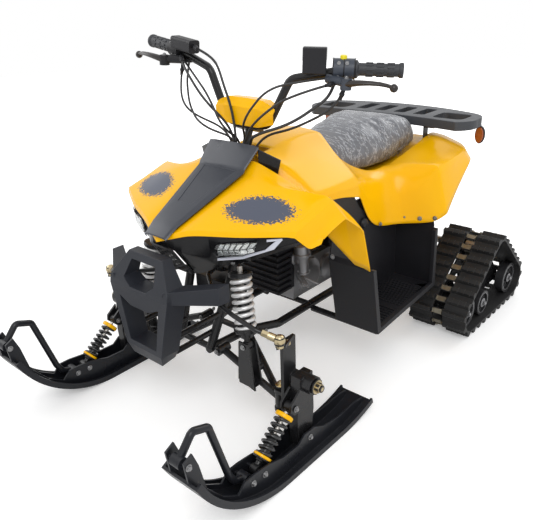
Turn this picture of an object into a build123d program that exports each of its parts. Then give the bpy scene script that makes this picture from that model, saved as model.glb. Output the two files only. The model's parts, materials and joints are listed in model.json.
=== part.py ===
from build123d import *
import math
import os

os.makedirs("parts", exist_ok=True)

# Youth snow quad: two steered skis in front, two rubber tracks behind.
# Millimetres.  The front faces -Y, the left side is +X, +Z is up.
# Pieces are drawn from the middle of the wheelbase; save() moves them so that
# the origin is on the ground under the middle of the overall length.

# ---- driving dimensions ------------------------------------------------
wall = 3.5                # thickness of the moulded body panels
gap = 1.0                 # clearance between pieces that lie together

middle_y = -37.0          # middle of the overall length

tube_radius = 12.5        # main frame tubes
brace_radius = 9.0        # light frame tubes
rail_x = 95.0             # lower frame rails, from the centre line
rail_z = 185.0

track_x = 352.0           # middle of each track
track_width = 205.0
belt = 6.0                # thickness of the track belt
lug_height = 13.0
lug_count = 28
window_width = 40.0       # openings along the middle of the belt
front_idler = (360.0, 55.0)     # y, radius
middle_idler = (487.0, 45.0)
rear_idler = (712.0, 58.0)
axle_y = 548.0
axle_z = 236.0
axle_radius = 12.5
sprocket_radius = 46.0
plate_offset = 26.0       # side plates of the track frame, from its middle
wheel_width = 30.0
wheel_offset = 66.0       # idler wheels, from the middle of the track

kingpin = (300.0, -462.0)       # x, y of the steering pin
kingpin_foot = 118.0
kingpin_height = 44.0
kingpin_radius = 8.0
running_gap = 0.3               # round the steering pins
tie_end = (334.0, -500.0, 344.0)
stub = (-446.0, 212.0)          # y, z of the stub axle
stub_end = 420.0
post_width = 28.0               # upright post that carries the ski
ski_x = 358.0                   # middle of each ski
ski_width = 108.0
channel_width = 60.0            # raised channel along the ski, outside
ski_floor = 7.0
ski_wall = 5.0
ski_flat = (-560.0, -345.0)     # y range that lies flat on the snow
ski_bolt_z = 57.0

column_foot = (-361.0, 395.0)   # y, z
column_tilt = 22.0              # degrees back from upright
column_length = 442.0
column_radius = 11.0
pitman_arm = (20.0, 24.0)       # tie rod pin: to the side, ahead of the column
pitman_pin = (4.0, 28.0)        # radius, height up the column
bar_turn = 13.0                 # the bars are clamped this far to the left

bar_radius = 11.0
grip_length = 116.0
grip_radius = 16.0


# ---- shared helpers ----------------------------------------------------
def inset(points, amount):
    """Open outline moved to its right-hand side, with mitred corners."""
    moved = []
    for i, (u, v) in enumerate(points):
        normals = []
        for a, b in ((i - 1, i), (i, i + 1)):
            if a >= 0 and b < len(points):
                du = points[b][0] - points[a][0]
                dv = points[b][1] - points[a][1]
                run = math.hypot(du, dv)
                normals.append((dv / run, -du / run))
        nu = sum(n[0] for n in normals) / len(normals)
        nv = sum(n[1] for n in normals) / len(normals)
        square = nu * nu + nv * nv
        moved.append((u + nu * amount / square, v + nv * amount / square))
    return moved


def skin(points, amount=wall):
    """Closed outline of a panel whose outer face follows the points."""
    return points + inset(points, amount)[::-1]


def mirrored(points):
    """Half outline, from the centre line outwards, made whole."""
    return [(-u, v) for u, v in points[::-1] if u > 0] + points


def across(y):
    """Plane of a cross section at y, drawn in x and z."""
    return Plane.XZ.offset(-y)


def lengthwise(x):
    """Plane of a side section at x, drawn in y and z."""
    return Plane.YZ.offset(x)


def rod(points, radius, bend=0, mode=Mode.ADD):
    """Round bar along a path with rounded bends."""
    with BuildLine():
        if bend:
            path = FilletPolyline(*points, radius=bend)
        else:
            path = Polyline(*points)
    with BuildSketch(Plane(path @ 0, z_dir=path % 0)) as section:
        Circle(radius)
    sweep(sections=section.sketch, path=path, mode=mode)


def outline(plane, points):
    """Flat face with straight edges through the points."""
    with BuildSketch(plane) as flat:
        with BuildLine():
            Polyline(*points, close=True)
        make_face()
    return flat.sketch


def ruled_body(sections, mode=Mode.ADD):
    """Faceted body through flat outlines: (plane, points) of each."""
    faces = [outline(plane, points) for plane, points in sections]
    loft(sections=faces, ruled=True, mode=mode)


def cover(sections, front_open=True, rear_open=True, moved=()):
    """Moulded cover, open below, as two mirrored halves.

    Each section is (y, half outline from the middle outwards).

    Steep faces keep their thickness where moved gives (y, shift) for the inside.
    """
    shifts = dict(moved)
    outside = []
    inside = []
    for i, (y, half) in enumerate(sections):
        inner = inset(mirrored(half), wall)[len(half) - 1:]
        inner[-1] = (inner[-1][0], inner[-1][1] - 2 * wall)
        inner_y = y + shifts.get(y, 0)
        if i == 0:
            inner_y = y - gap if front_open else y + wall
        if i == len(sections) - 1:
            inner_y = y + gap if rear_open else y - wall
        outside.append((across(y), half + [(0, half[-1][1])]))
        inside.append((across(inner_y), inner + [(0, inner[-1][1])]))
    with BuildPart(mode=Mode.PRIVATE) as one_side:
        ruled_body(outside)
        ruled_body(inside, mode=Mode.SUBTRACT)
    add(one_side.part)
    mirror(one_side.part, about=Plane.YZ)


def plate(plane, points, thickness, mode=Mode.ADD):
    """Flat plate with a straight-edged outline, thick both ways."""
    face = outline(plane, points)
    extrude(face, amount=thickness / 2, both=True, mode=mode)


def pin(start, end, radius, mode=Mode.ADD):
    """Straight round bar between two points."""
    rod([start, end], radius, mode=mode)


def axis_plane(start, end):
    """Plane at the start point, facing the end point."""
    direction = Vector(*end) - Vector(*start)
    return Plane(start, z_dir=direction.normalized()), direction.length


def disc(plane, start, end, radius, bore=0, mode=Mode.ADD):
    """Round slice between two heights above a plane."""
    with BuildSketch(plane.offset(start)) as ring:
        Circle(radius)
        if bore:
            Circle(bore, mode=Mode.SUBTRACT)
    extrude(ring.sketch, amount=end - start, mode=mode)


def coil_over(lower, upper, spring, wire, turns, eye_width, eye_axis):
    """Spring-and-damper unit between two eyes."""
    plane, length = axis_plane(lower, upper)
    body = spring * 0.55
    disc(plane, 8, 24, 8)
    disc(plane, 20, length * 0.55, body)
    disc(plane, length * 0.5, length - 8, body * 0.5)
    disc(plane, length * 0.16, length * 0.16 + 7, spring)
    disc(plane, length * 0.84, length * 0.84 + 6, spring)
    start = length * 0.16 + 7 + wire * 0.6
    height = length * 0.68 - 7 - wire * 1.2
    coil_radius = spring - wire
    with BuildLine(plane.offset(start)):
        coil = Helix(height / turns, height, coil_radius)
    with BuildSketch(Plane(coil @ 0, z_dir=coil % 0)) as section:
        Circle(wire)
    sweep(sections=section.sketch, path=coil, is_frenet=True)
    for point in (lower, upper):
        with BuildSketch(Plane(point, z_dir=eye_axis)) as ring:
            Circle(12)
            Circle(5, mode=Mode.SUBTRACT)
        extrude(ring.sketch, amount=eye_width / 2, both=True)


def save(solid, name):
    """Write one piece, measured from the middle of the vehicle."""
    placed = Pos(0, -middle_y, 0) * solid
    placed.label = name
    export_step(placed, "parts/" + name + ".step")


def flip(points, side):
    """3-D points of the left side, moved to the given side."""
    return [(side * x, y, z) for x, y, z in points]


sides = (("left", 1), ("right", -1))

# The steering column leans back from its foot
lean = math.radians(column_tilt)
column_axis = (0, math.sin(lean), math.cos(lean))
foot_point = (0, column_foot[0], column_foot[1])


def on_column(distance, x=0.0, ahead=0.0):
    """Point by its distance up the column, to the side and ahead of it."""
    y = column_foot[0] + distance * math.sin(lean) - ahead * math.cos(lean)
    z = column_foot[1] + distance * math.cos(lean) + ahead * math.sin(lean)
    return (x, y, z)


def turned_bars(solid):
    """Piece of the bars, turned to where they are clamped on the column."""
    return solid.rotate(Axis(foot_point, column_axis), bar_turn)


def bend_radii(points):
    """Largest smooth bend at each corner of a cable's route."""
    radii = []
    for a, b, c in zip(points, points[1:], points[2:]):
        before = Vector(*b) - Vector(*a)
        after = Vector(*c) - Vector(*b)
        half_turn = math.radians(before.get_angle(after) / 2)
        radii.append(0.45 * min(before.length, after.length) / math.tan(half_turn))
    return radii


def cable(name, points, radius):
    """Cable along a measured route; its bends and length are printed."""
    radii = bend_radii(points)
    with BuildLine():
        path = FilletPolyline(*points, radius=radii)
    with BuildSketch(Plane(path @ 0, z_dir=path % 0)) as section:
        Circle(radius)
    sweep(sections=section.sketch, path=path)
    shown = [round(r) for r in radii]
    print(name, "length", round(path.length), "bend radii", shown)


# ---- frame -------------------------------------------------------------
with BuildPart() as main_frame:
    for side in (1, -1):
        # lower rail, rear upright and rear subframe in one bent tube
        rod(flip([(60, -482, 205), (60, -330, 195), (rail_x, -230, rail_z),
                  (rail_x, 262, rail_z), (101, 350, 330), (112, 425, 500),
                  (118, 606, 540)], side), tube_radius, 38)
        # raked front upright, head and upper rail
        rod(flip([(60, -474, 205), (78, -395, 400), (50, -320, 585),
                  (62, -170, 548), (90, 110, 508), (110, 420, 492)], side),
            tube_radius, 30)
        # struts that hold the shock tower forward of the upright
        pin((side * 64, -360, 486), (side * 92, -446, 508), brace_radius)
        pin((side * 66, -200, 552), (side * 116, -446, 508), brace_radius)
        # stubs that carry the bumper
        pin((side * 57, -456, 250), (side * 57, -590, 250), brace_radius - 1)
        pin((side * 69, -434, 300), (side * 69, -590.5, 300), brace_radius - 1)
        # foot board supports, one under the front and one under the rear
        pin((side * rail_x, -60, 165), (side * 335, -60, 165), brace_radius + 1)
        pin((side * rail_x, 205, 187), (side * 335, 205, 187), brace_radius + 1)
    pin((-176, -446, 508), (176, -446, 508), brace_radius + 1)
    pin((-46, -325, 588), (46, -325, 588), brace_radius)
    pin((-60, -470, 205), (60, -470, 205), brace_radius)
    pin((-60, -335, 196), (60, -335, 196), brace_radius)
    pin((-rail_x, -60, 176), (rail_x, -60, 176), brace_radius)
    pin((-rail_x, 205, 176), (rail_x, 205, 176), brace_radius)
    pin((-112, 428, 490), (112, 428, 490), brace_radius)
    pin((-118, 598, 539), (118, 598, 539), brace_radius)
    # bearing block that guides the steering column
    with BuildSketch(Plane(on_column(205), x_dir=(1, 0, 0), z_dir=column_axis)):
        with Locations((0, -14)):
            Rectangle(52, 62)
        Circle(column_radius + gap, mode=Mode.SUBTRACT)
    extrude(amount=12, both=True)
save(main_frame.part, "main_frame")


# ---- front bodywork ----------------------------------------------------
# Side sections of the front fender, from the centre line outwards: front
# lip bottom, lip top, crest, shoulder and rear end, each as (y, z).
fender_sections = [
    (0, [(-572, 536), (-568, 550), (-345, 648), (-304, 688), (-286, 684)]),
    (66, [(-545, 556), (-541, 569), (-328, 659), (-292, 692), (-270, 684)]),
    (90, [(-532, 562), (-528, 575), (-322, 663), (-288, 694), (-264, 684)]),
    (200, [(-484, 566), (-480, 579), (-318, 650), (-262, 640), (-226, 560)]),
    (300, [(-424, 572), (-419, 585), (-268, 636), (-192, 572), (-136, 402)]),
    (316, [(-414, 570), (-410, 583), (-262, 622), (-186, 562), (-134, 399)]),
    (330, [(-376, 532), (-368, 546), (-258, 602), (-180, 548), (-131, 396)]),
    (346, [(-352, 542), (-342, 556), (-250, 578), (-168, 522), (-127, 389)]),
]

with BuildPart() as front_fender:
    stations = [(-x, pts) for x, pts in fender_sections[:0:-1]] + fender_sections
    ruled_body([(lengthwise(x), skin(pts)) for x, pts in stations])
save(front_fender.part, "front_fender")

# Hood panel: a long flat top that steps up to a steeper box behind it
hood_sections = [
    (-574, 41, 556), (-541, 46, 580), (-334, 84, 677), (-329, 85, 686),
    (-281, 92, 732),
]

with BuildPart() as hood_panel:
    stations = []
    for y, half, z in hood_sections:
        top = [(0, z), (half * 0.75, z - 1), (half - 3, z - 3), (half, z - 7)]
        stations.append((across(y), skin(mirrored(top)[::-1], -wall)))
    ruled_body(stations)
    # shallow tray in the flat top, open towards the step
    ruled_body([
        (across(-470), [(-26, 640), (26, 640), (25, 611.4), (-25, 611.4)]),
        (across(-338), [(-58, 700), (58, 700), (56, 673.2), (-56, 673.2)]),
    ], mode=Mode.SUBTRACT)
save(hood_panel.part, "hood_panel")

# Dark panel below the lip of the fender, which carries the lamps
grille_half = 36.0
lamp_sections = [
    (40, [(-488, 430), (-552, 520), (-550, 553)]),
    (60, [(-481, 434), (-545, 512), (-540, 558)]),
    (123, [(-477, 468), (-501, 498), (-511, 566)]),
    (200, [(-452, 494), (-472, 512), (-478, 569)]),
    (260, [(-414, 520), (-428, 534), (-442, 573)]),
    (316, [(-376, 546), (-392, 556), (-402, 574)]),
]

with BuildPart() as headlight_panel:
    stations = [(-x, pts) for x, pts in lamp_sections[::-1]] + lamp_sections
    ruled_body([(lengthwise(x), skin(pts)) for x, pts in stations])
    with Locations((0, -550, 440)):
        Box(2 * grille_half + 2 * gap, 200, 2 * 74, mode=Mode.SUBTRACT)
save(headlight_panel.part, "headlight_panel")


def lamp_face(x, low, high):
    """Stretch of the panel's front face at x, as two (y, z) points."""
    for (x0, a), (x1, b) in zip(lamp_sections, lamp_sections[1:]):
        if x0 <= x <= x1:
            t = (x - x0) / (x1 - x0)
            foot = [a[1][k] + t * (b[1][k] - a[1][k]) for k in (0, 1)]
            head = [a[2][k] + t * (b[2][k] - a[2][k]) for k in (0, 1)]
    rise = (head[0] - foot[0], head[1] - foot[1])
    return [(foot[0] + rise[0] * f, foot[1] + rise[1] * f) for f in (low, high)]


lamp_depth = 8.0
with BuildPart() as headlights:
    for side in (1, -1):
        lens = []
        for x, low, high in ((127, 0.2, 0.34), (139, 0.03, 0.56), (146, 0.03, 0.64),
                             (200, 0.06, 0.66), (226, 0.08, 0.66), (236, 0.36, 0.66)):
            face = lamp_face(x, low, high)
            back = inset(face, -0.5)
            front = inset(face, -lamp_depth)
            lens.append((lengthwise(side * x), back + front[::-1]))
        ruled_body(lens)
save(headlights.part, "headlights")

# Hexagon mesh at the nose, between the lamps
with BuildSketch() as field:
    with HexLocations(9, 5, 7):
        RegularPolygon(7, 6, rotation=30)
    Rectangle(2 * grille_half - 6, 94, mode=Mode.INTERSECT)

with BuildPart() as grille:
    mesh_plane = Plane((0, -525.5, 476), x_dir=(1, 0, 0), z_dir=(0, -0.829, -0.559))
    with BuildSketch(mesh_plane):
        Rectangle(2 * grille_half + 8, 104)
        add(field.sketch, mode=Mode.SUBTRACT)
    extrude(amount=3)
save(grille.part, "grille")

# ---- bumper ------------------------------------------------------------
with BuildPart() as front_bumper:
    # shield seen from the front, as two slanted halves above and below the crease
    ruled_body([
        (Plane.XY.offset(230), [(-58, -640), (58, -640), (50, -590), (-50, -590)]),
        (Plane.XY.offset(262), [(-70, -650), (70, -650), (72, -592), (-72, -592)]),
        (Plane.XY.offset(424), [(-112, -648), (112, -648), (118, -592), (-118, -592)]),
        (Plane.XY.offset(446), [(-112, -644), (112, -644), (116, -592), (-116, -592)]),
        (Plane.XY.offset(514), [(-64, -610), (64, -610), (64, -582), (-64, -582)]),
    ])
    for side in (1, -1):
        ruled_body([
            (lengthwise(side * 96), [(-646, 420), (-646, 452), (-592, 452), (-592, 416)]),
            (lengthwise(side * 206), [(-566, 420), (-566, 466), (-530, 466), (-530, 418)]),
        ])
    # upper window
    with BuildSketch(across(-560)):
        with BuildLine():
            Polyline((-46, 496), (46, 496), (58, 452), (30, 432), (-30, 432),
                     (-58, 452), close=True)
        make_face()
    extrude(amount=120, mode=Mode.SUBTRACT)
    # lower window
    with BuildSketch(across(-560)):
        with BuildLine():
            Polyline((-76, 398), (-34, 380), (34, 380), (76, 398), (52, 276),
                     (-52, 276), close=True)
        make_face()
    extrude(amount=120, mode=Mode.SUBTRACT)
save(front_bumper.part, "front_bumper")

# ---- centre bodywork ---------------------------------------------------
# Cross sections of the tank cover: flat top, shoulder, flank and lower edge
tank_sections = [
    (-254, [(0, 694), (58, 692), (88, 676), (96, 640), (98, 600)]),
    (-222, [(0, 697), (60, 694), (120, 668), (176, 600), (182, 570)]),
    (-200, [(0, 698), (62, 695), (138, 658), (208, 602), (216, 572)]),
    (-90, [(0, 690), (64, 686), (146, 642), (210, 598), (218, 567)]),
    (8, [(0, 664), (98, 658), (124, 642), (208, 568), (218, 540)]),
    (18, [(0, 572), (106, 570), (119, 640), (209, 563), (218, 532)]),
    (21, [(0, 572), (106, 570), (119, 640), (209, 563), (218, 530)]),
]

with BuildPart() as tank_cover:
    cover(tank_sections, moved=((8, -wall), (18, -wall)))
    with Locations((0, -228, 690)):
        Box(116, 76, 60, mode=Mode.SUBTRACT)
save(tank_cover.part, "tank_cover")

# Rear fender: deck under the seat, flanks, and a broad mudguard with an
# upright front face over each track, in one moulding
rear_sections = [
    (22, [(0, 566), (108, 562), (120, 640), (210, 562), (215, 531), (219, 500)]),
    (60, [(0, 563), (112, 559), (126, 624), (212, 534), (217, 488), (221, 446)]),
    (100, [(0, 560), (118, 557), (136, 604), (213, 522), (218, 468), (223, 420)]),
    (150, [(0, 556), (130, 553), (148, 582), (214, 514), (220, 462), (226, 414)]),
    (215, [(0, 553), (132, 551), (155, 570), (216, 516), (221, 462), (228, 414)]),
    (229, [(0, 552), (132, 551), (156, 570), (218, 524), (223, 428), (378, 420)]),
    (257, [(0, 552), (132, 552), (158, 572), (202, 582), (334, 600), (374, 448)]),
    (330, [(0, 556), (132, 556), (161, 586), (202, 592), (338, 598), (364, 500)]),
    (456, [(0, 570), (136, 574), (167, 616), (210, 618), (322, 598), (345, 560)]),
    (500, [(0, 578), (130, 584), (160, 624), (204, 626), (306, 606), (332, 566)]),
    (560, [(0, 586), (124, 590), (152, 626), (196, 622), (264, 600), (300, 556)]),
    (628, [(0, 592), (110, 592), (136, 606), (176, 600), (214, 584), (252, 545)]),
]
steep_front = ((215, wall), (229, wall), (257, wall))

with BuildPart() as rear_fender:
    cover(rear_sections, rear_open=False, moved=steep_front)
    for side in (1, -1):
        with Locations((side * 163, 492, 600), (side * 114, 587, 600)):
            Box(18, 40, 80, mode=Mode.SUBTRACT)
save(rear_fender.part, "rear_fender")

# ---- seat: soft, carried by the deck -----------------------------------
seat_sections = [
    (26, 74, 569, 650), (84, 100, 564, 676), (200, 128, 556, 694), (310, 144, 558, 705),
    (400, 146, 569, 705), (440, 142, 582, 691), (478, 132, 596, 640),
]

with BuildPart() as seat:
    faces = []
    for y, half, low, high in seat_sections:
        with BuildSketch(across(y)) as section:
            with Locations((0, (low + high) / 2)):
                RectangleRounded(2 * half, high - low, 0.36 * (high - low))
        faces.append(section.sketch)
    loft(sections=faces, ruled=True)
save(seat.part, "seat")

# ---- footwells ---------------------------------------------------------
# inner and outer faces; the inner panel stays clear of the tank cover's inside
footwell_x = (213.0 - 2 * wall, 356.0)
# side outline: front top, front foot, rear foot, rear top, inner panel top
footwell_side = [(-128, 387), (-88, 174), (252, 202), (244, 412), (239, 424),
                 (222, 472), (66, 476), (24, 500), (-8, 545), (-62, 570),
                 (-100, 570), (-118, 556), (-116, 440)]
footwell_room = [(-129, 600), (-124, 388), (-84, 179), (247, 207),
                 (239, 424), (239, 600)]
rim = 12.0                      # raised edge round the outside of the floor
rim_room = [(-140, 600), (-140, 393), (-113, 389), (-74, 190), (234, 216), (229, 398),
            (250, 404), (250, 600)]
floor_slope = 28 / 331

for name, side in sides:
    with BuildPart() as footwell:
        inner = side * footwell_x[0]
        width = footwell_x[1] - footwell_x[0]
        extrude(outline(lengthwise(inner), footwell_side), amount=side * width)
        room = outline(lengthwise(inner + side * wall), footwell_room)
        extrude(room, amount=side * (width - wall - rim), mode=Mode.SUBTRACT)
        room = outline(lengthwise(side * (footwell_x[1] - rim - gap)), rim_room)
        extrude(room, amount=side * (rim + 2 * gap), mode=Mode.SUBTRACT)
        # ribbed mat in two fields on the floor
        for start, count in ((-64, 9), (74, 11)):
            for i in range(count):
                y = start + 13 * i
                top = 179 + (y + 84) * floor_slope + 4
                rib = [(y, top), (y + 6, top), (y + 8, top - 7), (y - 2, top - 7)]
                inner_end = side * (footwell_x[0] + 14)
                rib_face = outline(lengthwise(inner_end), rib)
                extrude(rib_face, amount=side * (width - rim - 26))
    save(footwell.part, "footwell_" + name)

# ---- rear rack ---------------------------------------------------------
rack_half = 326.0
rack_top = 690.0
rack_depth = 30.0

with BuildPart() as rear_rack:
    with BuildSketch(Plane.XY.offset(rack_top)) as rack_plan:
        with BuildLine():
            ThreePointArc((-286, 450), (0, 474), (286, 450))
            ThreePointArc((286, 450), (rack_half - 6, 486), (rack_half, 540))
            ThreePointArc((rack_half, 540), (316, 590), (280, 622))
            ThreePointArc((280, 622), (0, 676), (-280, 622))
            ThreePointArc((-280, 622), (-316, 590), (-rack_half, 540))
            ThreePointArc((-rack_half, 540), (-rack_half + 6, 486), (-286, 450))
        make_face()
    extrude(amount=-rack_depth)
    # open slots: one in each end, four in the middle
    with BuildSketch(Plane.XY.offset(rack_top)):
        with Locations((-232, 540), (232, 540)):
            RectangleRounded(110, 96, 22)
        with GridLocations(78, 0, 4, 1):
            with Locations((0, 568)):
                RectangleRounded(44, 110, 10)
    extrude(amount=-rack_depth, mode=Mode.SUBTRACT)
save(rear_rack.part, "rear_rack")

# Flat steel stays from the frame rails up to the rack
with BuildPart() as rack_stays:
    for side in (1, -1):
        front = [(side * 117, 534), (side * 160, 566), (side * 160, 659),
                 (side * 200, 659)]
        turn = 5 if side > 0 else -5
        extrude(outline(across(478), skin(front, turn)), amount=-28)
        rear = [(side * 112, 554), (side * 112, 659), (side * 150, 659)]
        extrude(outline(across(574), skin(rear, turn)), amount=-26)
save(rack_stays.part, "rack_stays")

with BuildPart() as tail_lights:
    for side in (1, -1):
        with BuildSketch(across(586)):
            with Locations((side * 314, 626)):
                Ellipse(19, 32)
        extrude(amount=-16)
        with BuildSketch(Plane.XY.offset(640)):
            with Locations((side * 310, 594)):
                Circle(6)
        extrude(amount=rack_top - rack_depth - 640)
save(tail_lights.part, "tail_lights")

# ---- engine and exhaust ------------------------------------------------
with BuildPart() as engine_block:
    with BuildSketch(Plane.XY.offset(200)):
        RectangleRounded(160, 250, 24)
    extrude(amount=190)
    with BuildSketch(Plane.XY.offset(389)):
        with Locations((0, -20)):
            RectangleRounded(110, 130, 14)
    extrude(amount=70)
save(engine_block.part, "engine_block")

with BuildPart() as muffler:
    pin((-180, 270, 395), (-180, 560, 395), 44)
    rod([(-81, 40, 330), (-130, 40, 330), (-180, 120, 380), (-180, 272, 395)], 13, 24)
    pin((-180, 559, 395), (-180, 590, 395), 12)
save(muffler.part, "muffler")

# ---- front suspension --------------------------------------------------
arm_ball_z = kingpin_foot + kingpin_height / 2
shock_foot = (206, -476, 272)
shock_head = (160, -446, 486)

for name, side in sides:
    with BuildPart() as a_arm:
        outer_end = (side * kingpin[0], kingpin[1], arm_ball_z)
        for y in (-456, -350):
            pin((side * 88, y, 205), outer_end, 10)
            pin((side * 88, y - 20, 205), (side * 88, y + 20, 205), 13.5)
        pin((side * 196, -459, 172), (side * 196, -402, 172), 8)
        # bracket for the foot of the shock
        for y in (-492, -464):
            plate(across(y), [(side * 182, 168), (side * 240, 152),
                              (side * 222, 284), (side * 190, 284)], 5)
        with BuildSketch(Plane.XY.offset(158)):
            with Locations((side * 210, -478)):
                Rectangle(50, 33)
        extrude(amount=12)
        foot = (side * kingpin[0], kingpin[1], kingpin_foot)
        head = (side * kingpin[0], kingpin[1], kingpin_foot + kingpin_height)
        pin(foot, head, 15)
        bore = kingpin_radius + running_gap
        pin((foot[0], foot[1], 0), (head[0], head[1], 400), bore, Mode.SUBTRACT)
        for y in (-456, -350):
            pin((side * 88, y - 30, 205), (side * 88, y + 30, 205), 6, Mode.SUBTRACT)
        pin((side * 206, -500, 272), (side * 206, -450, 272), 5, Mode.SUBTRACT)
    save(a_arm.part, "a_arm_" + name)

    with BuildPart() as front_shock:
        low = (side * shock_foot[0], shock_foot[1] - 2, shock_foot[2])
        high = (side * shock_head[0], shock_head[1], shock_head[2])
        coil_over(low, high, 29, 5, 7, 20, (0, 1, 0))
    save(front_shock.part, "front_shock_" + name)

# ---- rear suspension and axle ------------------------------------------
with BuildPart() as swing_arm:
    pin((-82, 300, 236), (82, 300, 236), 16)
    for side in (1, -1):
        pin((side * 56, 300, 236), (side * 56, axle_y, axle_z), 13)
    pin((-56, 470, 236), (56, 470, 236), 11)
    pin((-96, axle_y, axle_z), (96, axle_y, axle_z), 26)
    pin((-100, axle_y, axle_z), (100, axle_y, axle_z), axle_radius + gap, Mode.SUBTRACT)
save(swing_arm.part, "swing_arm")

with BuildPart() as rear_shock:
    coil_over((0, 470, 260), (0, 428, 468), 28, 5, 7, 24, (1, 0, 0))
save(rear_shock.part, "rear_shock")

# ---- tracks ------------------------------------------------------------
lift = belt + lug_height        # underside of every idler above the ground


def wheel_centres():
    """(y, z, radius) of the three wheels that shape the belt."""
    return [
        (front_idler[0], lift + front_idler[1], front_idler[1]),
        (rear_idler[0], lift + rear_idler[1], rear_idler[1]),
        (axle_y, axle_z, sprocket_radius),
    ]


def loop_face(plane, extra):
    """Face inside the belt line, moved outwards by extra."""
    with BuildSketch(plane) as loop:
        for y, z, radius in wheel_centres():
            with Locations((y, z)):
                Circle(radius + extra)
        make_hull()
    return loop.sketch


with BuildPart() as left_track:
    inner_edge = track_x - track_width / 2
    start = lengthwise(inner_edge)
    # belt with the lugs in its outline, then a clear strip down the middle
    with BuildSketch(start) as shoes:
        belt_line = loop_face(Plane.XY, belt)
        add(belt_line)
        rim = belt_line.face().outer_wire()
        for i in range(lug_count):
            spot = rim @ (i / lug_count)
            heading = rim % (i / lug_count)
            angle = math.degrees(math.atan2(heading.Y, heading.X))
            with Locations(Location((spot.X, spot.Y), angle)):
                with Locations((0, -(lug_height - 1) / 2)):
                    Trapezoid(24, lug_height + 1, 68, rotation=180)
    extrude(amount=track_width)
    middle = lengthwise(track_x - window_width / 2 - 3)
    strip = loop_face(middle, 2 * lug_height) - loop_face(middle, belt)
    extrude(strip, amount=window_width + 6, mode=Mode.SUBTRACT)
    extrude(loop_face(start, 0), amount=track_width, mode=Mode.SUBTRACT)
    windows = []
    for i in range(lug_count):
        spot = rim @ ((i + 0.5) / lug_count)
        heading = rim % ((i + 0.5) / lug_count)
        angle = math.degrees(math.atan2(heading.Y, heading.X))
        windows.append(Location((track_x, spot.X, spot.Y), (angle, 0, 0)))
    with Locations(*windows):
        Box(window_width, 22, 3 * belt, mode=Mode.SUBTRACT)
save(left_track.part, "track_left")

with BuildPart() as right_track:
    add(left_track.part.mirror(Plane.YZ))
save(right_track.part, "track_right")

# ---- rear axle, track frames and wheels --------------------------------
sprocket_teeth = 9
tooth_depth = 7.0
# round a shaft that turns in a hole
shaft_hole = axle_radius + 0.5

with BuildPart() as rear_axle:
    half = track_x + 40
    pin((-half, axle_y, axle_z), (half, axle_y, axle_z), axle_radius)
    for side in (1, -1):
        # hub and toothed drive wheel inside each track
        with BuildSketch(lengthwise(side * (track_x - 15))) as wheel:
            with Locations((axle_y, axle_z)):
                Circle(sprocket_radius - gap)
                with PolarLocations(sprocket_radius + 3, sprocket_teeth):
                    Circle(tooth_depth + 4, mode=Mode.SUBTRACT)
        extrude(wheel.sketch, amount=side * 30)
        pin((side * (half - 8), axle_y, axle_z), (side * (half - 2), axle_y, axle_z), 19)
    # chain wheel and brake disc beside the swing arm
    pin((104, axle_y, axle_z), (110, axle_y, axle_z), 62)
    pin((-104, axle_y, axle_z), (-108, axle_y, axle_z), 70)
    pin((-128, axle_y, axle_z), (-101, axle_y, axle_z), 24)
    pin((101, axle_y, axle_z), (128, axle_y, axle_z), 24)
save(rear_axle.part, "rear_axle")

idlers = (front_idler, middle_idler, rear_idler)

for name, side in sides:
    with BuildPart() as track_frame:
        for offset in (-plate_offset, plate_offset):
            with BuildSketch(lengthwise(side * (track_x + offset) - 3)) as side_plate:
                for y, radius in idlers:
                    with Locations((y, lift + radius)):
                        Circle(17)
                with Locations((axle_y, axle_z)):
                    Circle(30)
                make_hull()
                with Locations((axle_y, axle_z)):
                    Circle(shaft_hole, mode=Mode.SUBTRACT)
                for y, z, r in ((480, 130, 20), (548, 150, 30), (618, 128, 20)):
                    with Locations((y, z)):
                        Circle(r, mode=Mode.SUBTRACT)
            extrude(side_plate.sketch, amount=6)
        for y, radius in idlers:
            inner = (side * (track_x - wheel_offset - 20), y, lift + radius)
            outer = (side * (track_x + wheel_offset + 20), y, lift + radius)
            pin(inner, outer, 8)
    save(track_frame.part, "track_frame_" + name)

    with BuildPart() as track_wheels:
        for y, radius in idlers:
            for offset in (-wheel_offset, wheel_offset):
                middle = side * (track_x + offset)
                tyre = radius - gap / 2
                with BuildSketch(lengthwise(middle - wheel_width / 2)) as wheel:
                    with Locations((y, lift + radius)):
                        Circle(tyre)
                        Circle(8.2, mode=Mode.SUBTRACT)
                        with PolarLocations(0.56 * tyre, 6):
                            Circle(0.19 * tyre, mode=Mode.SUBTRACT)
                extrude(wheel.sketch, amount=wheel_width)
                # both faces are dished between the rim and the hub
                for face in (-1, 1):
                    edge = middle + face * wheel_width / 2
                    with BuildSketch(lengthwise(edge)) as dish:
                        with Locations((y, lift + radius)):
                            Circle(tyre - 9)
                            Circle(17, mode=Mode.SUBTRACT)
                    extrude(dish.sketch, amount=-face * 9, mode=Mode.SUBTRACT)
    save(track_wheels.part, "track_wheels_" + name)

# ---- steering knuckles and skis ----------------------------------------
nose_radius = 320.0
nose_turn = 62.0                # degrees, how far the nose curls up
nose_end = 26.0
tail_radius = 500.0
tail_turn = 16.0
tail_end = 14.0
# bolts across the ski, as (y, z)
front_bolt = (-849.0, 236.0)
handle_bolt = (-668.0, 62.0)
shock_bolt = (-628.0, 60.0)
rear_bolt = (-454.0, 57.0)
shock_top = (-497.0, 164.0)


def ski_line(height):
    """Side line of the ski at a height above its underside, front to back."""
    middle = Line((ski_flat[0], height), (ski_flat[1], height))
    nose = JernArc(middle @ 0, (-1, 0), nose_radius - height, -nose_turn)
    tip = PolarLine(nose @ 1, nose_end, direction=nose % 1)
    tail = JernArc(middle @ 1, (1, 0), tail_radius - height, tail_turn)
    end = PolarLine(tail @ 1, tail_end, direction=tail % 1)
    return tip @ 1, end @ 1


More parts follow.
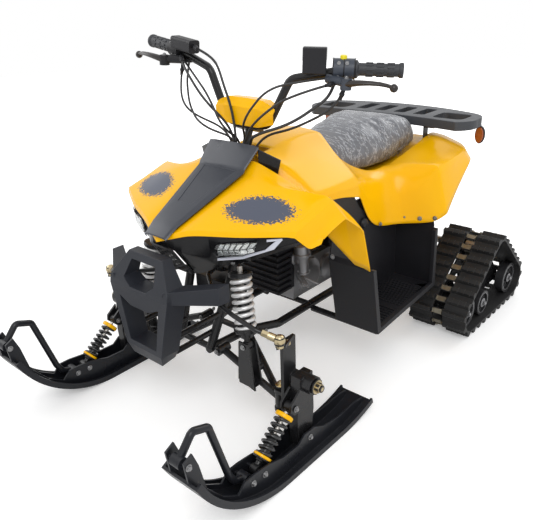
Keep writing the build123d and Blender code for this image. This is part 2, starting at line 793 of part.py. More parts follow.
def ski_band(x, low, high):
    """Face between two heights above the underside, in the plane at x."""
    with BuildSketch(lengthwise(x)) as band:
        with BuildLine():
            tip, end = ski_line(low)
            upper_tip, upper_end = ski_line(high)
            Line(tip, upper_tip)
            Line(end, upper_end)
        make_face()
    return band.sketch


for name, side in sides:
    kx, ky = side * kingpin[0], kingpin[1]
    ear_low = kingpin_foot - 1.5
    ear_high = kingpin_foot + kingpin_height + 1.5
    with BuildPart() as knuckle:
        for bottom, top in ((ear_low - 10, ear_low), (ear_high, ear_high + 10)):
            with BuildSketch(Plane.XY.offset(bottom)) as ear:
                with Locations((kx, ky)):
                    Circle(17)
                with Locations((kx + side * 17, ky)):
                    Rectangle(34, 34)
            extrude(ear.sketch, amount=top - bottom)
        pin((kx, ky, ear_low - 16), (kx, ky, ear_high + 20), kingpin_radius)
        for z in (ear_low - 18, ear_high + 12):
            with BuildSketch(Plane.XY.offset(z)) as nut:
                with Locations((kx, ky)):
                    RegularPolygon(13, 6)
            extrude(nut.sketch, amount=8)
        # upright web and the arm to the tie rod
        with BuildSketch(Plane.XY.offset(ear_low - 10)) as web:
            with Locations((side * 327, ky)):
                Rectangle(10, 48)
        extrude(web.sketch, amount=tie_end[2] - 14 - ear_low + 10)
        arm = [(322, -444), (332, -444), (346, -492), (334, -513), (321, -492)]
        arm = [(side * x, y) for x, y in arm]
        extrude(outline(Plane.XY.offset(tie_end[2] - 22), arm), amount=8)
        pin((side * tie_end[0], tie_end[1], tie_end[2] - 22),
            (side * tie_end[0], tie_end[1], tie_end[2] + 12), 5)
        # stub axle for the ski, with its washer and nut
        pin((side * 326, *stub), (side * 344, *stub), 20)
        pin((side * 326, *stub), (side * 402, *stub), 14)
        pin((side * 326, *stub), (side * stub_end, *stub), 9)
        pin((side * 402, *stub), (side * 405, *stub), 20)
        with BuildSketch(lengthwise(side * 405)) as nut:
            with Locations(stub):
                RegularPolygon(13, 6)
        extrude(nut.sketch, amount=side * 9)
    save(knuckle.part, "knuckle_" + name)

    # post that turns on the stub axle and stands in the ski
    with BuildPart() as ski_post:
        post = [(-472, 234), (-422, 234), (-418, 120), (-430, 36), (-480, 36),
                (-484, 120)]
        middle = lengthwise(side * ski_x)
        plate(middle, post, post_width)
        for offset in (-15, 15):
            ear = [(-478, 204), (-478, 142), (-500, 146), (-514, 160), (-512, 178)]
            plate(lengthwise(side * (ski_x + offset)), ear, 6)
        left_end = side * (ski_x - 60)
        right_end = side * (ski_x + 60)
        pin((side * 346, *stub), (side * 398, *stub), 24)
        pin((left_end, *stub), (right_end, *stub), 14.4, Mode.SUBTRACT)
        pin((left_end, rear_bolt[0], rear_bolt[1]),
            (right_end, rear_bolt[0], rear_bolt[1]), 6.3, Mode.SUBTRACT)
        pin((side * (ski_x - 22), *shock_top), (side * (ski_x + 22), *shock_top), 4.7)
    save(ski_post.part, "ski_post_" + name)

    # the ski itself: floor, turned-up edges and the two walls of the channel
    with BuildPart() as ski:
        inner = side * ski_x - ski_width / 2
        extrude(ski_band(inner, 0, ski_floor), amount=ski_width)
        for edge in (inner, inner + ski_width - 6):
            extrude(ski_band(edge, 0, 17), amount=6)
        half = channel_width / 2
        for edge in (side * ski_x - half, side * ski_x + half - ski_wall):
            wall_face = outline(lengthwise(edge), [
                (-852, 191), (-860, 250), (-836, 262), (-822, 224), (-806, 150),
                (-760, 92), (-716, 62), (-694, 84), (-660, 84), (-612, 78),
                (-560, 62), (-500, 60), (-476, 78), (-436, 76), (-392, 52),
                (-330, 44), (-250, 46), (-214, 40), (-214, 0), (-400, -20),
                (-600, -20), (-800, 60)])
            extrude(wall_face - ski_band(edge, -150, 1), amount=ski_wall)
        for bolt in (front_bolt, handle_bolt, shock_bolt, rear_bolt):
            x0 = side * ski_x - half - 4
            pin((x0, *bolt), (x0 + channel_width + 8, *bolt), 4.7)
    save(ski.part, "ski_" + name)

    # bent loop to lift the ski by, bolted in the channel at both feet
    with BuildPart() as ski_handle:
        x = side * ski_x
        rod([(x, *front_bolt), (x, -808, 284), (x, -764, 268), (x, -716, 104),
             (x, -700, 76), (x, *handle_bolt)], 9, 12)
        for bolt in (front_bolt, handle_bolt):
            pin((x - 14, *bolt), (x + 14, *bolt), 14)
        for bolt in (front_bolt, handle_bolt):
            pin((x - 20, *bolt), (x + 20, *bolt), 5, Mode.SUBTRACT)
    save(ski_handle.part, "ski_handle_" + name)

    with BuildPart() as ski_shock:
        coil_over((x, *shock_bolt), (x, *shock_top), 22, 4, 7, 20, (1, 0, 0))
    save(ski_shock.part, "ski_shock_" + name)

# ---- tie rods ----------------------------------------------------------
pin_height = 14.0               # tie rod eye, above the pitman plate


for name, side in sides:
    eye = on_column(pin_height, side * pitman_arm[0], pitman_arm[1])
    end = (side * tie_end[0], tie_end[1], tie_end[2])
    with BuildPart() as tie_rod:
        rod([eye] + flip([(42, -446, 413), (150, -524, 398), (215, -533, 385),
                          (280, -525, 364)], side) + [end], 6, 16)
        plane = Plane(eye, z_dir=column_axis)
        disc(plane, -4, 4, 12)
        disc(plane, -20, 20, pitman_pin[0] + 3.6, mode=Mode.SUBTRACT)
        # ball joint at the knuckle
        disc(Plane(end), -11, 9, 13)
        disc(Plane(end), -30, 30, 5.3, mode=Mode.SUBTRACT)
    save(tie_rod.part, "tie_rod_" + name)

# ---- steering column and handlebar -------------------------------------
bar_height = 401.0              # handlebar on the column, and ahead of it
bar_ahead = 14.0
bar_points = [(62, -226, 772), (122, -225, 903), (262, -184, 938), (379, -139, 942)]
grip_start = (262.0, -184.0, 938.0)
grip_run = math.dist(grip_start, (384, -137, 942))
grip_heading = [(b - a) / grip_run for a, b in zip(grip_start, (384, -137, 942))]


def at_grip(side, along, ahead=0.0, up=0.0):
    """Point by its distance along the grip's axis, ahead of it and above it."""
    flat = math.hypot(grip_heading[0], grip_heading[1])
    x = grip_start[0] + grip_heading[0] * along + grip_heading[1] / flat * ahead
    y = grip_start[1] + grip_heading[1] * along - grip_heading[0] / flat * ahead
    z = grip_start[2] + grip_heading[2] * along + up
    return (side * x, y, z)


with BuildPart() as steering_column:
    foot = Plane(foot_point, x_dir=(1, 0, 0), z_dir=column_axis)
    disc(foot, -14, bar_height - 14, column_radius)
    # plate at the foot with the two tie rod pins
    corners = [(-23, -30), (23, -30), (29, -20), (18, 16), (-18, 16), (-29, -20)]
    extrude(outline(foot.offset(-9), corners), amount=7)
    for side in (1, -1):
        with BuildSketch(foot.offset(-9)) as stud:
            with Locations((side * pitman_arm[0], -pitman_arm[1])):
                Circle(pitman_pin[0])
        extrude(stud.sketch, amount=9 + pitman_pin[1])
    # collar above the frame's bearing block
    disc(foot, 205 + 12 + gap, 205 + 22, column_radius + 6)

with BuildPart() as bar_clamp:
    with BuildSketch(foot.offset(bar_height - 17)) as clamp:
        with Locations((0, -7)):
            RectangleRounded(76, 46, 6)
    extrude(clamp.sketch, amount=34)
    pin((-60, bar_points[0][1], bar_points[0][2]),
        (60, bar_points[0][1], bar_points[0][2]), bar_radius, Mode.SUBTRACT)
save(steering_column.part + turned_bars(bar_clamp.part), "steering_column")

with BuildPart() as handlebar:
    left_half = [bar_points[i] for i in (0, 1, 2, 3)]
    right_half = [(-x, y, z) for x, y, z in left_half[::-1]]
    rod(right_half + left_half, bar_radius, 30)
save(turned_bars(handlebar.part), "handlebar")

# Faceted cover in front of and over the bar clamp
pad_sections = [
    (0, [(-262, 774), (-268, 824), (-244, 844), (-192, 838)]),
    (52, [(-260, 774), (-264, 822), (-242, 842), (-194, 836)]),
    (88, [(-246, 784), (-250, 812), (-236, 826), (-206, 822)]),
]

with BuildPart() as bar_pad:
    stations = [(-x, pts) for x, pts in pad_sections[:0:-1]] + pad_sections
    ruled_body([(lengthwise(x), skin(pts)) for x, pts in stations])
    rod(right_half + left_half, bar_radius + 2, 30, Mode.SUBTRACT)
save(turned_bars(bar_pad.part), "bar_pad")

for name, side in sides:
    with BuildPart() as grip:
        plane, length = axis_plane(at_grip(side, 15), at_grip(side, 131))
        disc(plane, 0, grip_length, grip_radius)
        disc(plane, 0, 4, grip_radius + 6)
        disc(plane, grip_length - 6, grip_length, grip_radius + 2.5)
        rod(right_half + left_half, bar_radius + 0.1, 30, Mode.SUBTRACT)
    save(turned_bars(grip.part), "grip_" + name)

def lever_line(side):
    """Line of a brake lever, from its pivot to the ball at its end."""
    return [at_grip(side, -4, 44, -29), at_grip(side, 26, 62, -22),
            at_grip(side, 72, 66, -22), at_grip(side, 107, 61, -31)]


def lever_perch(side):
    """Arm ahead of and below the bar, slotted for the brake lever."""
    pin(at_grip(side, -52, 12, -22), at_grip(side, -6, 40, -26), 11)
    pin(at_grip(side, -4, 44, -42), at_grip(side, -4, 44, -16), 14)
    disc(Plane(lever_line(side)[0]), -6, 6, 11.5, mode=Mode.SUBTRACT)
    rod(lever_line(side), 7, 20, Mode.SUBTRACT)
    pin(at_grip(side, -4, 44, -60), at_grip(side, -4, 44, 0), 4.3, Mode.SUBTRACT)


with BuildPart() as switch_pod:
    plane, length = axis_plane(at_grip(1, -40), at_grip(1, 14))
    disc(plane, 0, length - 1, 25)
    pin(at_grip(1, -16, 0, 20), at_grip(1, -16, 0, 31), 8)
    lever_perch(1)
    rod(right_half + left_half, bar_radius + 0.1, 30, Mode.SUBTRACT)
save(turned_bars(switch_pod.part), "switch_pod")

# Thumb throttle and brake perch on the right, with its long flat housing
with BuildPart() as throttle_housing:
    plane, length = axis_plane(at_grip(-1, -34), at_grip(-1, 13))
    disc(plane, 0, length, 25)
    lever_perch(-1)
    box_plane, box_length = axis_plane(at_grip(-1, -112, 16, 20), at_grip(-1, -20, 16, 20))
    with BuildSketch(box_plane) as box_end:
        RectangleRounded(34, 34, 7)
    extrude(box_end.sketch, amount=box_length)
    # thumb lever below the housing
    pin(at_grip(-1, -52, -6, -30), at_grip(-1, -52, -6, -16), 12)
    pin(at_grip(-1, -52, -6, -24), at_grip(-1, -12, -28, -24), 6)
    rod(right_half + left_half, bar_radius + 0.1, 30, Mode.SUBTRACT)
save(turned_bars(throttle_housing.part), "throttle_housing")

for name, side in sides:
    with BuildPart() as brake_lever:
        # eye on the perch, then a blade that runs ahead of the grip to a ball
        points = lever_line(side)
        disc(Plane(points[0]), -5, 5, 10)
        rod(points, 5.5, 20)
        with Locations(at_grip(side, 110, 60, -32)):
            Sphere(10.5)
        disc(Plane(points[0]), -13, 13, 4)
    save(turned_bars(brake_lever.part), "brake_lever_" + name)

# Small flat box strapped to the left of the bar
with BuildPart() as control_box:
    box_plane, box_length = axis_plane(at_grip(1, -114, 26, 22), at_grip(1, -56, 26, 22))
    with BuildSketch(Plane(at_grip(1, -114, 26, 22), x_dir=(0, 0, 1),
                           z_dir=grip_heading)) as box_end:
        RectangleRounded(62, 24, 3)
    extrude(box_end.sketch, amount=box_length)
    rod(right_half + left_half, bar_radius + 0.1, 30, Mode.SUBTRACT)
save(turned_bars(control_box.part), "control_box")

# ---- control cables ----------------------------------------------------
# From the levers and switches down to the column; all are tied to it above
# the bearing block, so they turn with the bars.
def tied_end(x, ahead):
    """Last two points of a cable, where it runs down the column."""
    return [on_column(352, x, ahead), on_column(250, x, ahead)]


cable_routes = {
    "brake_cable_left": (3.0, [
        at_grip(1, -54.5, 11, -22), at_grip(1, -110, 16, -30), (96, -300, 888),
        (34, -316, 800)] + tied_end(5, 15)),
    "brake_cable_right": (3.0, [
        at_grip(-1, -56, 14, -22), at_grip(-1, -120, 28, -44), (-74, -306, 850),
        (-26, -312, 772)] + tied_end(-5, 15)),
    "throttle_cable": (3.0, [
        at_grip(-1, -52, -6, -31), at_grip(-1, -48, 0, -80), (-196, -222, 800),
        (-120, -286, 762)] + tied_end(-15, 8)),
    "wiring_left": (4.0, [
        at_grip(1, -30, 2, -28), at_grip(1, -46, 16, -70), (150, -262, 800),
        (60, -300, 764)] + tied_end(16, 8)),
}
for name, (thickness, points) in cable_routes.items():
    with BuildPart() as control_cable:
        cable(name, points, thickness)
    save(turned_bars(control_cable.part), name)
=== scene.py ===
import json
import math

import bmesh
import bpy
from mathutils import Matrix, Vector, noise


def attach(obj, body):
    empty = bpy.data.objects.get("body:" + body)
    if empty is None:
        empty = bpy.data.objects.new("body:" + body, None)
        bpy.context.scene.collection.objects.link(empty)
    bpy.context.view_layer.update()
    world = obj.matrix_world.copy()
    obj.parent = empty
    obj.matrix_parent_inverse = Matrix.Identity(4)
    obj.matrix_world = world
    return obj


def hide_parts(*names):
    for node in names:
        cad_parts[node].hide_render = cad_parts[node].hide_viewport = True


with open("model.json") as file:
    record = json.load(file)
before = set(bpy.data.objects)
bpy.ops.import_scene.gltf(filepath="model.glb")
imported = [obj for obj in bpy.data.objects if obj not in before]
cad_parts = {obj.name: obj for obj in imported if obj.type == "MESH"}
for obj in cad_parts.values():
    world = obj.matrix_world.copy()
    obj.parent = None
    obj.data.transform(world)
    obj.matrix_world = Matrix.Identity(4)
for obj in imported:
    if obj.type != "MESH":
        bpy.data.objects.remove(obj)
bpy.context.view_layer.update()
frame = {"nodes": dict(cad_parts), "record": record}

# Metres.  The front faces -Y, the left side is +X, +Z is up.
# Places in the settings are in millimetres, with y measured as in the CAD's source;
# shiftY carries them into the shared frame.
shiftY = 0.037
sides = (("left", 1), ("right", -1))


# Sets a node's inputs and options by name; a socket given as a value is linked
def fill(node, **settings):
    for key, value in settings.items():
        name = key.replace("_", " ")
        if name in node.inputs:
            feed(node.inputs[name], value)
        else:
            setattr(node, key, value)
    return node


def feed(socket, value):
    if isinstance(value, bpy.types.NodeSocket):
        socket.id_data.links.new(value, socket)
    else:
        socket.default_value = value


def addNode(tree, kind, **settings):
    return fill(tree.nodes.new(kind), **settings)


# Result of a maths node on numbers or sockets
def addMath(tree, operation, *values, kind="ShaderNodeMath", result="Value"):
    node = addNode(tree, kind, operation=operation)
    for socket, value in zip(node.inputs, values):
        feed(socket, value)
    return node.outputs[result]


def addVectorMath(tree, operation, *values, result="Value"):
    return addMath(tree, operation, *values, kind="ShaderNodeVectorMath", result=result)


def objectCoords(tree):
    return addNode(tree, "ShaderNodeTexCoord").outputs["Object"]


def addNoise(tree, vector, **settings):
    return addNode(tree, "ShaderNodeTexNoise", Vector=vector, **settings).outputs["Fac"]


# A value carried from one range to another
def addRange(tree, value, **settings):
    return addNode(tree, "ShaderNodeMapRange", Value=value, **settings).outputs["Result"]


def mixColour(tree, mask, first, second):
    mix = addNode(tree, "ShaderNodeMix", data_type="RGBA", Factor=mask)
    for socket, value in ((mix.inputs[6], first), (mix.inputs[7], second)):
        feed(socket, (*value, 1.0) if isinstance(value, tuple) else value)
    return mix.outputs[2]


def newGroup(name, inputs, outputs):
    group = bpy.data.node_groups.new(name, "ShaderNodeTree")
    for socketName, default in inputs.items():
        socket = group.interface.new_socket(socketName, in_out="INPUT",
                                            socket_type="NodeSocketFloat")
        socket.default_value = default
    for socketName in outputs:
        group.interface.new_socket(socketName, in_out="OUTPUT", socket_type="NodeSocketFloat")
    given = group.nodes.new("NodeGroupInput").outputs
    return group, given, group.nodes.new("NodeGroupOutput")


# Fine grain, broad mottling and a scuff mask, in object space
def grainGroup():
    group, given, result = newGroup(
        "surfaceGrain", {"Grain Scale": 900.0, "Cloud Scale": 9.0, "Stretch": 1.0},
        ("Grain", "Cloud", "Scuff"))
    coords = objectCoords(group)
    scale = addNode(group, "ShaderNodeCombineXYZ", X=1.0, Y=1.0, Z=given["Stretch"])
    stretched = addVectorMath(group, "MULTIPLY", coords, scale.outputs[0], result="Vector")
    grain = addNoise(group, stretched, Scale=given["Grain Scale"], Detail=3.0,
                     Roughness=0.6)
    cloud = addNoise(group, coords, Scale=given["Cloud Scale"], Detail=5.0, Roughness=0.55)
    scratch = addNoise(group, coords, Scale=38.0, Detail=8.0, Roughness=0.75)
    scuff = addRange(group, scratch, From_Min=0.58, From_Max=0.72)
    fill(result, Grain=grain, Cloud=cloud, Scuff=scuff)
    return group


# Mask that is high along convex edges, broken up by noise
def edgeGroup():
    group, given, result = newGroup("edgeWear", {"Width": 0.003, "Amount": 0.5}, ("Mask",))
    bevel = addNode(group, "ShaderNodeBevel", samples=4, Radius=given["Width"])
    geometry = addNode(group, "ShaderNodeNewGeometry")
    bend = addVectorMath(group, "DOT_PRODUCT", bevel.outputs["Normal"],
                         geometry.outputs["Normal"])
    edge = addRange(group, bend, From_Min=0.985, From_Max=0.86)
    rough = addNoise(group, objectCoords(group), Scale=70.0, Detail=6.0, Roughness=0.7)
    broken = addRange(group, rough, From_Min=0.4, From_Max=0.62)
    both = addMath(group, "MULTIPLY", edge, broken)
    scaled = addMath(group, "MULTIPLY", both, given["Amount"])
    scaled.node.use_clamp = True
    fill(result, Mask=scaled)
    return group


splashShape = {
    # middle on the left cheek, half length and half width, in metres; turn in radians
    "middle": (0.196, -0.365, 0.0), "turn": 0.42, "size": (0.088, 0.044, 1.0),
    "speckle": 150.0, "raggedness": 1.7, "rim": (1.86, 1.80),
}


# Plain speckled splash on each cheek of the fender
def splashGroup(settings):
    group, given, result = newGroup("splashMark", {"Speckle": settings["speckle"]}, ("Mask",))
    coords = objectCoords(group)
    split = addNode(group, "ShaderNodeSeparateXYZ", Vector=coords)
    beside = addMath(group, "ABSOLUTE", split.outputs["X"])
    folded = addNode(group, "ShaderNodeCombineXYZ", X=beside, Y=split.outputs["Y"])
    place = addNode(group, "ShaderNodeMapping", vector_type="TEXTURE",
                    Location=settings["middle"], Rotation=(0.0, 0.0, settings["turn"]),
                    Scale=settings["size"], Vector=folded.outputs[0])
    far = addVectorMath(group, "LENGTH", place.outputs[0])
    rag = addNoise(group, coords, Scale=given["Speckle"], Detail=7.0, Roughness=0.72)
    ragged = addMath(group, "MULTIPLY_ADD", rag, settings["raggedness"], far)
    outside, inside = settings["rim"]
    fill(result, Mask=addRange(group, ragged, From_Min=outside, From_Max=inside))
    return group


grainNodes = grainGroup()
edgeNodes = edgeGroup()
splashNodes = splashGroup(splashShape)
bumpDepth = 0.0004      # metres, height of the fine grain at a bump strength of 1
scuffShare = 0.35


def newMaterial(name):
    material = bpy.data.materials.new(name)
    material.use_nodes = True
    tree = material.node_tree
    return material, tree, tree.nodes["Principled BSDF"]


# One finish: two tones mottled together, a grain in the gloss and the bump,
# and lighter or barer edges
def makeFinish(name, tone, tone2, rough, grain, bump, metallic=0.0, coat=0.0, coatRough=0.08,
               edge=None, edgeAmount=0.4, stretch=1.0, scuff=None, specular=0.5, splash=None):
    material, tree, shader = newMaterial(name)
    surface = addNode(tree, "ShaderNodeGroup", node_tree=grainNodes, Grain_Scale=grain,
                      Stretch=stretch).outputs
    colour = mixColour(tree, surface["Cloud"], tone, tone2)
    if scuff:
        fade = addMath(tree, "MULTIPLY", surface["Scuff"], scuffShare)
        colour = mixColour(tree, fade, colour, scuff)
    if edge:
        wear = addNode(tree, "ShaderNodeGroup", node_tree=edgeNodes, Amount=edgeAmount)
        colour = mixColour(tree, wear.outputs["Mask"], colour, edge)
    if splash:
        mark = addNode(tree, "ShaderNodeGroup", node_tree=splashNodes)
        colour = mixColour(tree, mark.outputs["Mask"], colour, splash)
    gloss = addRange(tree, surface["Cloud"], From_Min=0.3, From_Max=0.7, To_Min=rough[0],
                     To_Max=rough[1])
    raised = addNode(tree, "ShaderNodeBump", Strength=bump, Distance=bumpDepth,
                     Height=surface["Grain"])
    fill(shader, Base_Color=colour, Roughness=gloss, Normal=raised.outputs["Normal"],
         Metallic=metallic, Coat_Weight=coat, Coat_Roughness=coatRough,
         Specular_IOR_Level=specular)
    return material


# Clear plastic of the lamps
def makeClear():
    material, tree, shader = newMaterial("clearLens")
    surface = addNode(tree, "ShaderNodeGroup", node_tree=grainNodes, Grain_Scale=300.0)
    gloss = addRange(tree, surface.outputs["Cloud"], To_Min=0.02, To_Max=0.07)
    fill(shader, Base_Color=(0.93, 0.95, 0.97, 1), Transmission_Weight=1.0, IOR=1.45,
         Roughness=gloss)
    return material


filmLook = {
    "turn": 0.35, "stretch": (0.22, 1.0, 0.35), "scale": 60.0, "streak": 0.026,
    # the pale tone, and the thicker cover where it shows, are the film's glare painted in as a
    # highlight
    "cover": (0.66, 0.92), "plain": (0.25, 0.26, 0.285), "paintedGlare": (0.52, 0.53, 0.56),
    "gloss": (0.10, 0.26), "bump": 0.8, "bumpDepth": 0.0016,
}


# Thin film: pale streaks of painted highlight where it creases, on a duller and thinner ground
def makeFilmFinish(look):
    material, tree, shader = newMaterial("clearFilm")
    turned = addNode(tree, "ShaderNodeMapping", Rotation=(0.0, 0.0, look["turn"]),
                     Scale=look["stretch"], Vector=objectCoords(tree))
    streak = addNoise(tree, turned.outputs[0], Scale=look["scale"], Detail=6.0,
                      Roughness=0.62, Distortion=0.25)
    middle = addMath(tree, "SUBTRACT", streak, 0.5)
    ridge = addMath(tree, "ABSOLUTE", middle)
    # painted highlight: pale streaks of glare along the ridges of the crease noise, where the film
    # is also more opaque
    paintedGlare = addRange(tree, ridge, From_Min=look["streak"], From_Max=0.0)
    thin, thick = look["cover"]
    smooth, dull = look["gloss"]
    raised = addNode(tree, "ShaderNodeBump", Strength=look["bump"],
                     Distance=look["bumpDepth"], Height=streak)
    fill(shader, Alpha=addRange(tree, paintedGlare, To_Min=thin, To_Max=thick),
         Base_Color=mixColour(tree, paintedGlare, look["plain"], look["paintedGlare"]),
         Roughness=addRange(tree, streak, To_Min=smooth, To_Max=dull),
         Normal=raised.outputs["Normal"])
    return material


yellowLook = {
    "tone": (0.95, 0.50, 0.0015), "tone2": (0.93, 0.47, 0.001), "rough": (0.16, 0.25),
    "grain": 420.0, "bump": 0.04, "coat": 0.10, "specular": 0.16,
}
finishes = {
    "yellow": makeFinish("yellowPlastic", **yellowLook),
    "fender": makeFinish("fenderPlastic", splash=(0.09, 0.10, 0.135), **yellowLook),
    "buttonYellow": makeFinish(
        "buttonYellow", (0.85, 0.72, 0.01), (0.80, 0.66, 0.01), rough=(0.35, 0.45), grain=700.0,
        bump=0.1),
    "hood": makeFinish(
        "hoodGrey", (0.034, 0.038, 0.050), (0.028, 0.032, 0.043), rough=(0.26, 0.38), grain=700.0,
        bump=0.06, coat=0.15, coatRough=0.15, specular=0.35),
    "black": makeFinish(
        "blackPlastic", (0.010, 0.010, 0.012), (0.015, 0.015, 0.018), rough=(0.38, 0.52),
        grain=1300.0, bump=0.3, edge=(0.04, 0.04, 0.046), specular=0.28),
    "gloss": makeFinish(
        "glossBlack", (0.006, 0.006, 0.007), (0.009, 0.009, 0.010), rough=(0.16, 0.26),
        grain=600.0, bump=0.05, specular=0.28),
    "lever": makeFinish(
        "leverPaint", (0.020, 0.018, 0.019), (0.030, 0.024, 0.022), rough=(0.26, 0.4), grain=500.0,
        bump=0.12, specular=0.4, edge=(0.09, 0.075, 0.065)),
    "coilBlack": makeFinish(
        "coilPaint", (0.010, 0.010, 0.011), (0.014, 0.014, 0.015), rough=(0.2, 0.3), grain=300.0,
        bump=0.05, coat=0.3),
    "guide": makeFinish(
        "guidePlastic", (0.62, 0.64, 0.72), (0.52, 0.54, 0.62), rough=(0.2, 0.3), grain=500.0,
        bump=0.1, coat=0.4),
    "reflector": makeFinish(
        "lampReflector", (0.82, 0.83, 0.80), (0.66, 0.67, 0.64), rough=(0.12, 0.24), grain=260.0,
        bump=0.5, metallic=0.8),
    "bumper": makeFinish(
        "bumperPlastic", (0.016, 0.018, 0.024), (0.022, 0.024, 0.031), rough=(0.36, 0.50),
        grain=1100.0, bump=0.35, edge=(0.06, 0.065, 0.078), scuff=(0.034, 0.036, 0.043),
        specular=0.28),
    "rack": makeFinish(
        "rackPlastic", (0.034, 0.037, 0.044), (0.044, 0.048, 0.056), rough=(0.40, 0.54),
        grain=950.0, bump=0.4, edge=(0.09, 0.095, 0.105), scuff=(0.07, 0.074, 0.082)),
    "frame": makeFinish(
        "framePaint", (0.010, 0.010, 0.011), (0.014, 0.014, 0.015), rough=(0.22, 0.36),
        grain=260.0, bump=0.06, coat=0.12, specular=0.3, edge=(0.10, 0.10, 0.10), edgeAmount=0.25),
    "ski": makeFinish(
        "skiPlastic", (0.009, 0.010, 0.013), (0.014, 0.015, 0.019), rough=(0.24, 0.38),
        grain=500.0, bump=0.15, specular=0.3, edge=(0.06, 0.065, 0.075),
        scuff=(0.035, 0.037, 0.042)),
    "rubber": makeFinish(
        "trackRubber", (0.013, 0.013, 0.014), (0.022, 0.022, 0.022), rough=(0.42, 0.62),
        grain=700.0, bump=0.45, specular=0.3, edge=(0.075, 0.073, 0.07), edgeAmount=0.6,
        scuff=(0.05, 0.048, 0.045)),
    "grip": makeFinish(
        "gripRubber", (0.022, 0.024, 0.028), (0.030, 0.032, 0.038), rough=(0.5, 0.66), grain=900.0,
        bump=0.3, edge=(0.07, 0.075, 0.08)),
    "control": makeFinish(
        "controlGrey", (0.052, 0.060, 0.078), (0.042, 0.050, 0.066), rough=(0.34, 0.46),
        grain=1000.0, bump=0.2, specular=0.35),
    "spring": makeFinish(
        "springSteel", (0.78, 0.78, 0.78), (0.66, 0.66, 0.66), rough=(0.34, 0.46), grain=500.0,
        bump=0.08, metallic=0.55),
    "steel": makeFinish(
        "brushedSteel", (0.46, 0.44, 0.41), (0.33, 0.31, 0.29), rough=(0.28, 0.45), grain=300.0,
        bump=0.12, metallic=1.0, stretch=8.0),
    "zinc": makeFinish(
        "zincPlate", (0.60, 0.50, 0.30), (0.46, 0.38, 0.24), rough=(0.26, 0.42), grain=300.0,
        bump=0.08, metallic=1.0),
    "clip": makeFinish(
        "clipSteel", (0.34, 0.31, 0.24), (0.20, 0.18, 0.14), rough=(0.3, 0.5), grain=300.0,
        bump=0.1, metallic=0.9),
    "bolt": makeFinish(
        "boltSteel", (0.42, 0.42, 0.42), (0.26, 0.26, 0.27), rough=(0.25, 0.4), grain=400.0,
        bump=0.08, metallic=1.0),
    "alloy": makeFinish(
        "castAlloy", (0.40, 0.40, 0.41), (0.26, 0.26, 0.27), rough=(0.36, 0.55), grain=520.0,
        bump=0.5, metallic=0.85, scuff=(0.10, 0.095, 0.09)),
    "wheel": makeFinish(
        "wheelNylon", (0.016, 0.016, 0.018), (0.024, 0.024, 0.026), rough=(0.32, 0.5), grain=700.0,
        bump=0.2, edge=(0.09, 0.09, 0.09)),
    "seat": makeFinish(
        "seatVinyl", (0.02, 0.02, 0.023), (0.03, 0.03, 0.034), rough=(0.4, 0.55), grain=800.0,
        bump=0.4),
    "amber": makeFinish(
        "amberReflector", (0.38, 0.085, 0.018), (0.27, 0.055, 0.012), rough=(0.16, 0.24),
        grain=300.0, bump=0.3, coat=0.6),
    "cable": makeFinish(
        "cableSheath", (0.012, 0.012, 0.013), (0.018, 0.018, 0.019), rough=(0.36, 0.5),
        grain=1200.0, bump=0.15),
    "clear": makeClear(),
    "film": makeFilmFinish(filmLook),
}

# CAD nodes that show as they are; pieces made below stand for the others
nodeFinish = {
    "frame": ["main_frame", "a_arm_*", "swing_arm", "steering_column", "handlebar", "tie_rod_*"],
    "ski": ["ski_handle_*"], "rubber": ["track_*"], "steel": ["rear_axle", "muffler"],
    "wheel": ["track_wheels_*"], "cable": ["brake_cable_*", "throttle_cable", "wiring_left"],
}


# Names with a star stand for the left and the right one
def bothSides(name):
    return [name.replace("*", sideName) for sideName, side in sides] if "*" in name else [name]


for finish, names in nodeFinish.items():
    for node in sum(map(bothSides, names), []):
        mesh = frame["nodes"][node].data
        mesh.materials.clear()
        mesh.materials.append(finishes[finish])
print("finishes on the frame")


# Body and slot of each CAD node
bodyOf = {node: body for body, members in frame["record"]["behaviour"]["bodies"].items()
          for node in members}
slotOf = {part["node"]: part["material_slot"] for part in frame["record"]["subparts"]}


# Model millimetres to a place in the shared frame
def at(x, y, z):
    return Vector((x / 1000.0, y / 1000.0 + shiftY, z / 1000.0))


# Turn and place that carry +Z onto a heading
def along(start, heading):
    return Matrix.Translation(start) @ heading.to_track_quat("Z", "Y").to_matrix().to_4x4()


def takeMesh(name, shape):
    mesh = bpy.data.meshes.new(name)
    shape.to_mesh(mesh)
    shape.free()
    return mesh


def addObject(name, data):
    added = bpy.data.objects.new(name, data)
    bpy.context.scene.collection.objects.link(added)
    return added


# Piece made of a bmesh: its faces turned outwards, its body and finish set; the slot name is
# worked out but not used
def newPiece(name, shape, finish, body="vehicle", replaced=(), slotName=None, smooth=35.0,
             bevel=None, outwards=True):
    if outwards:
        bmesh.ops.recalc_face_normals(shape, faces=shape.faces)
    mesh = takeMesh(name, shape)
    mesh.materials.append(finishes[finish])
    mesh.shade_smooth()
    mesh.set_sharp_from_angle(angle=math.radians(smooth))
    piece = addObject(name, mesh)
    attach(piece, body)
    if replaced:
        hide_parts(*replaced)
        slotName = slotName or slotOf[replaced[0]]
    if bevel:
        addBevel(piece, *bevel)
    return piece


def addBevel(piece, width, segments=2, angle=35.0):
    bevel = piece.modifiers.new("edges", "BEVEL")
    bevel.width = width
    bevel.segments = segments
    bevel.limit_method = "ANGLE"
    bevel.angle_limit = math.radians(angle)
    bevel.miter_outer = "MITER_ARC"
    even = piece.modifiers.new("normals", "WEIGHTED_NORMAL")
    even.keep_sharp = True


def addSubdivision(piece, levels):
    surface = piece.modifiers.new("surface", "SUBSURF")
    surface.levels = levels
    surface.render_levels = levels
    surface.boundary_smooth = "PRESERVE_CORNERS"


def addWall(piece, thickness):
    wall = piece.modifiers.new("wall", "SOLIDIFY")
    wall.thickness = thickness
    wall.offset = -1.0
    wall.use_even_offset = True


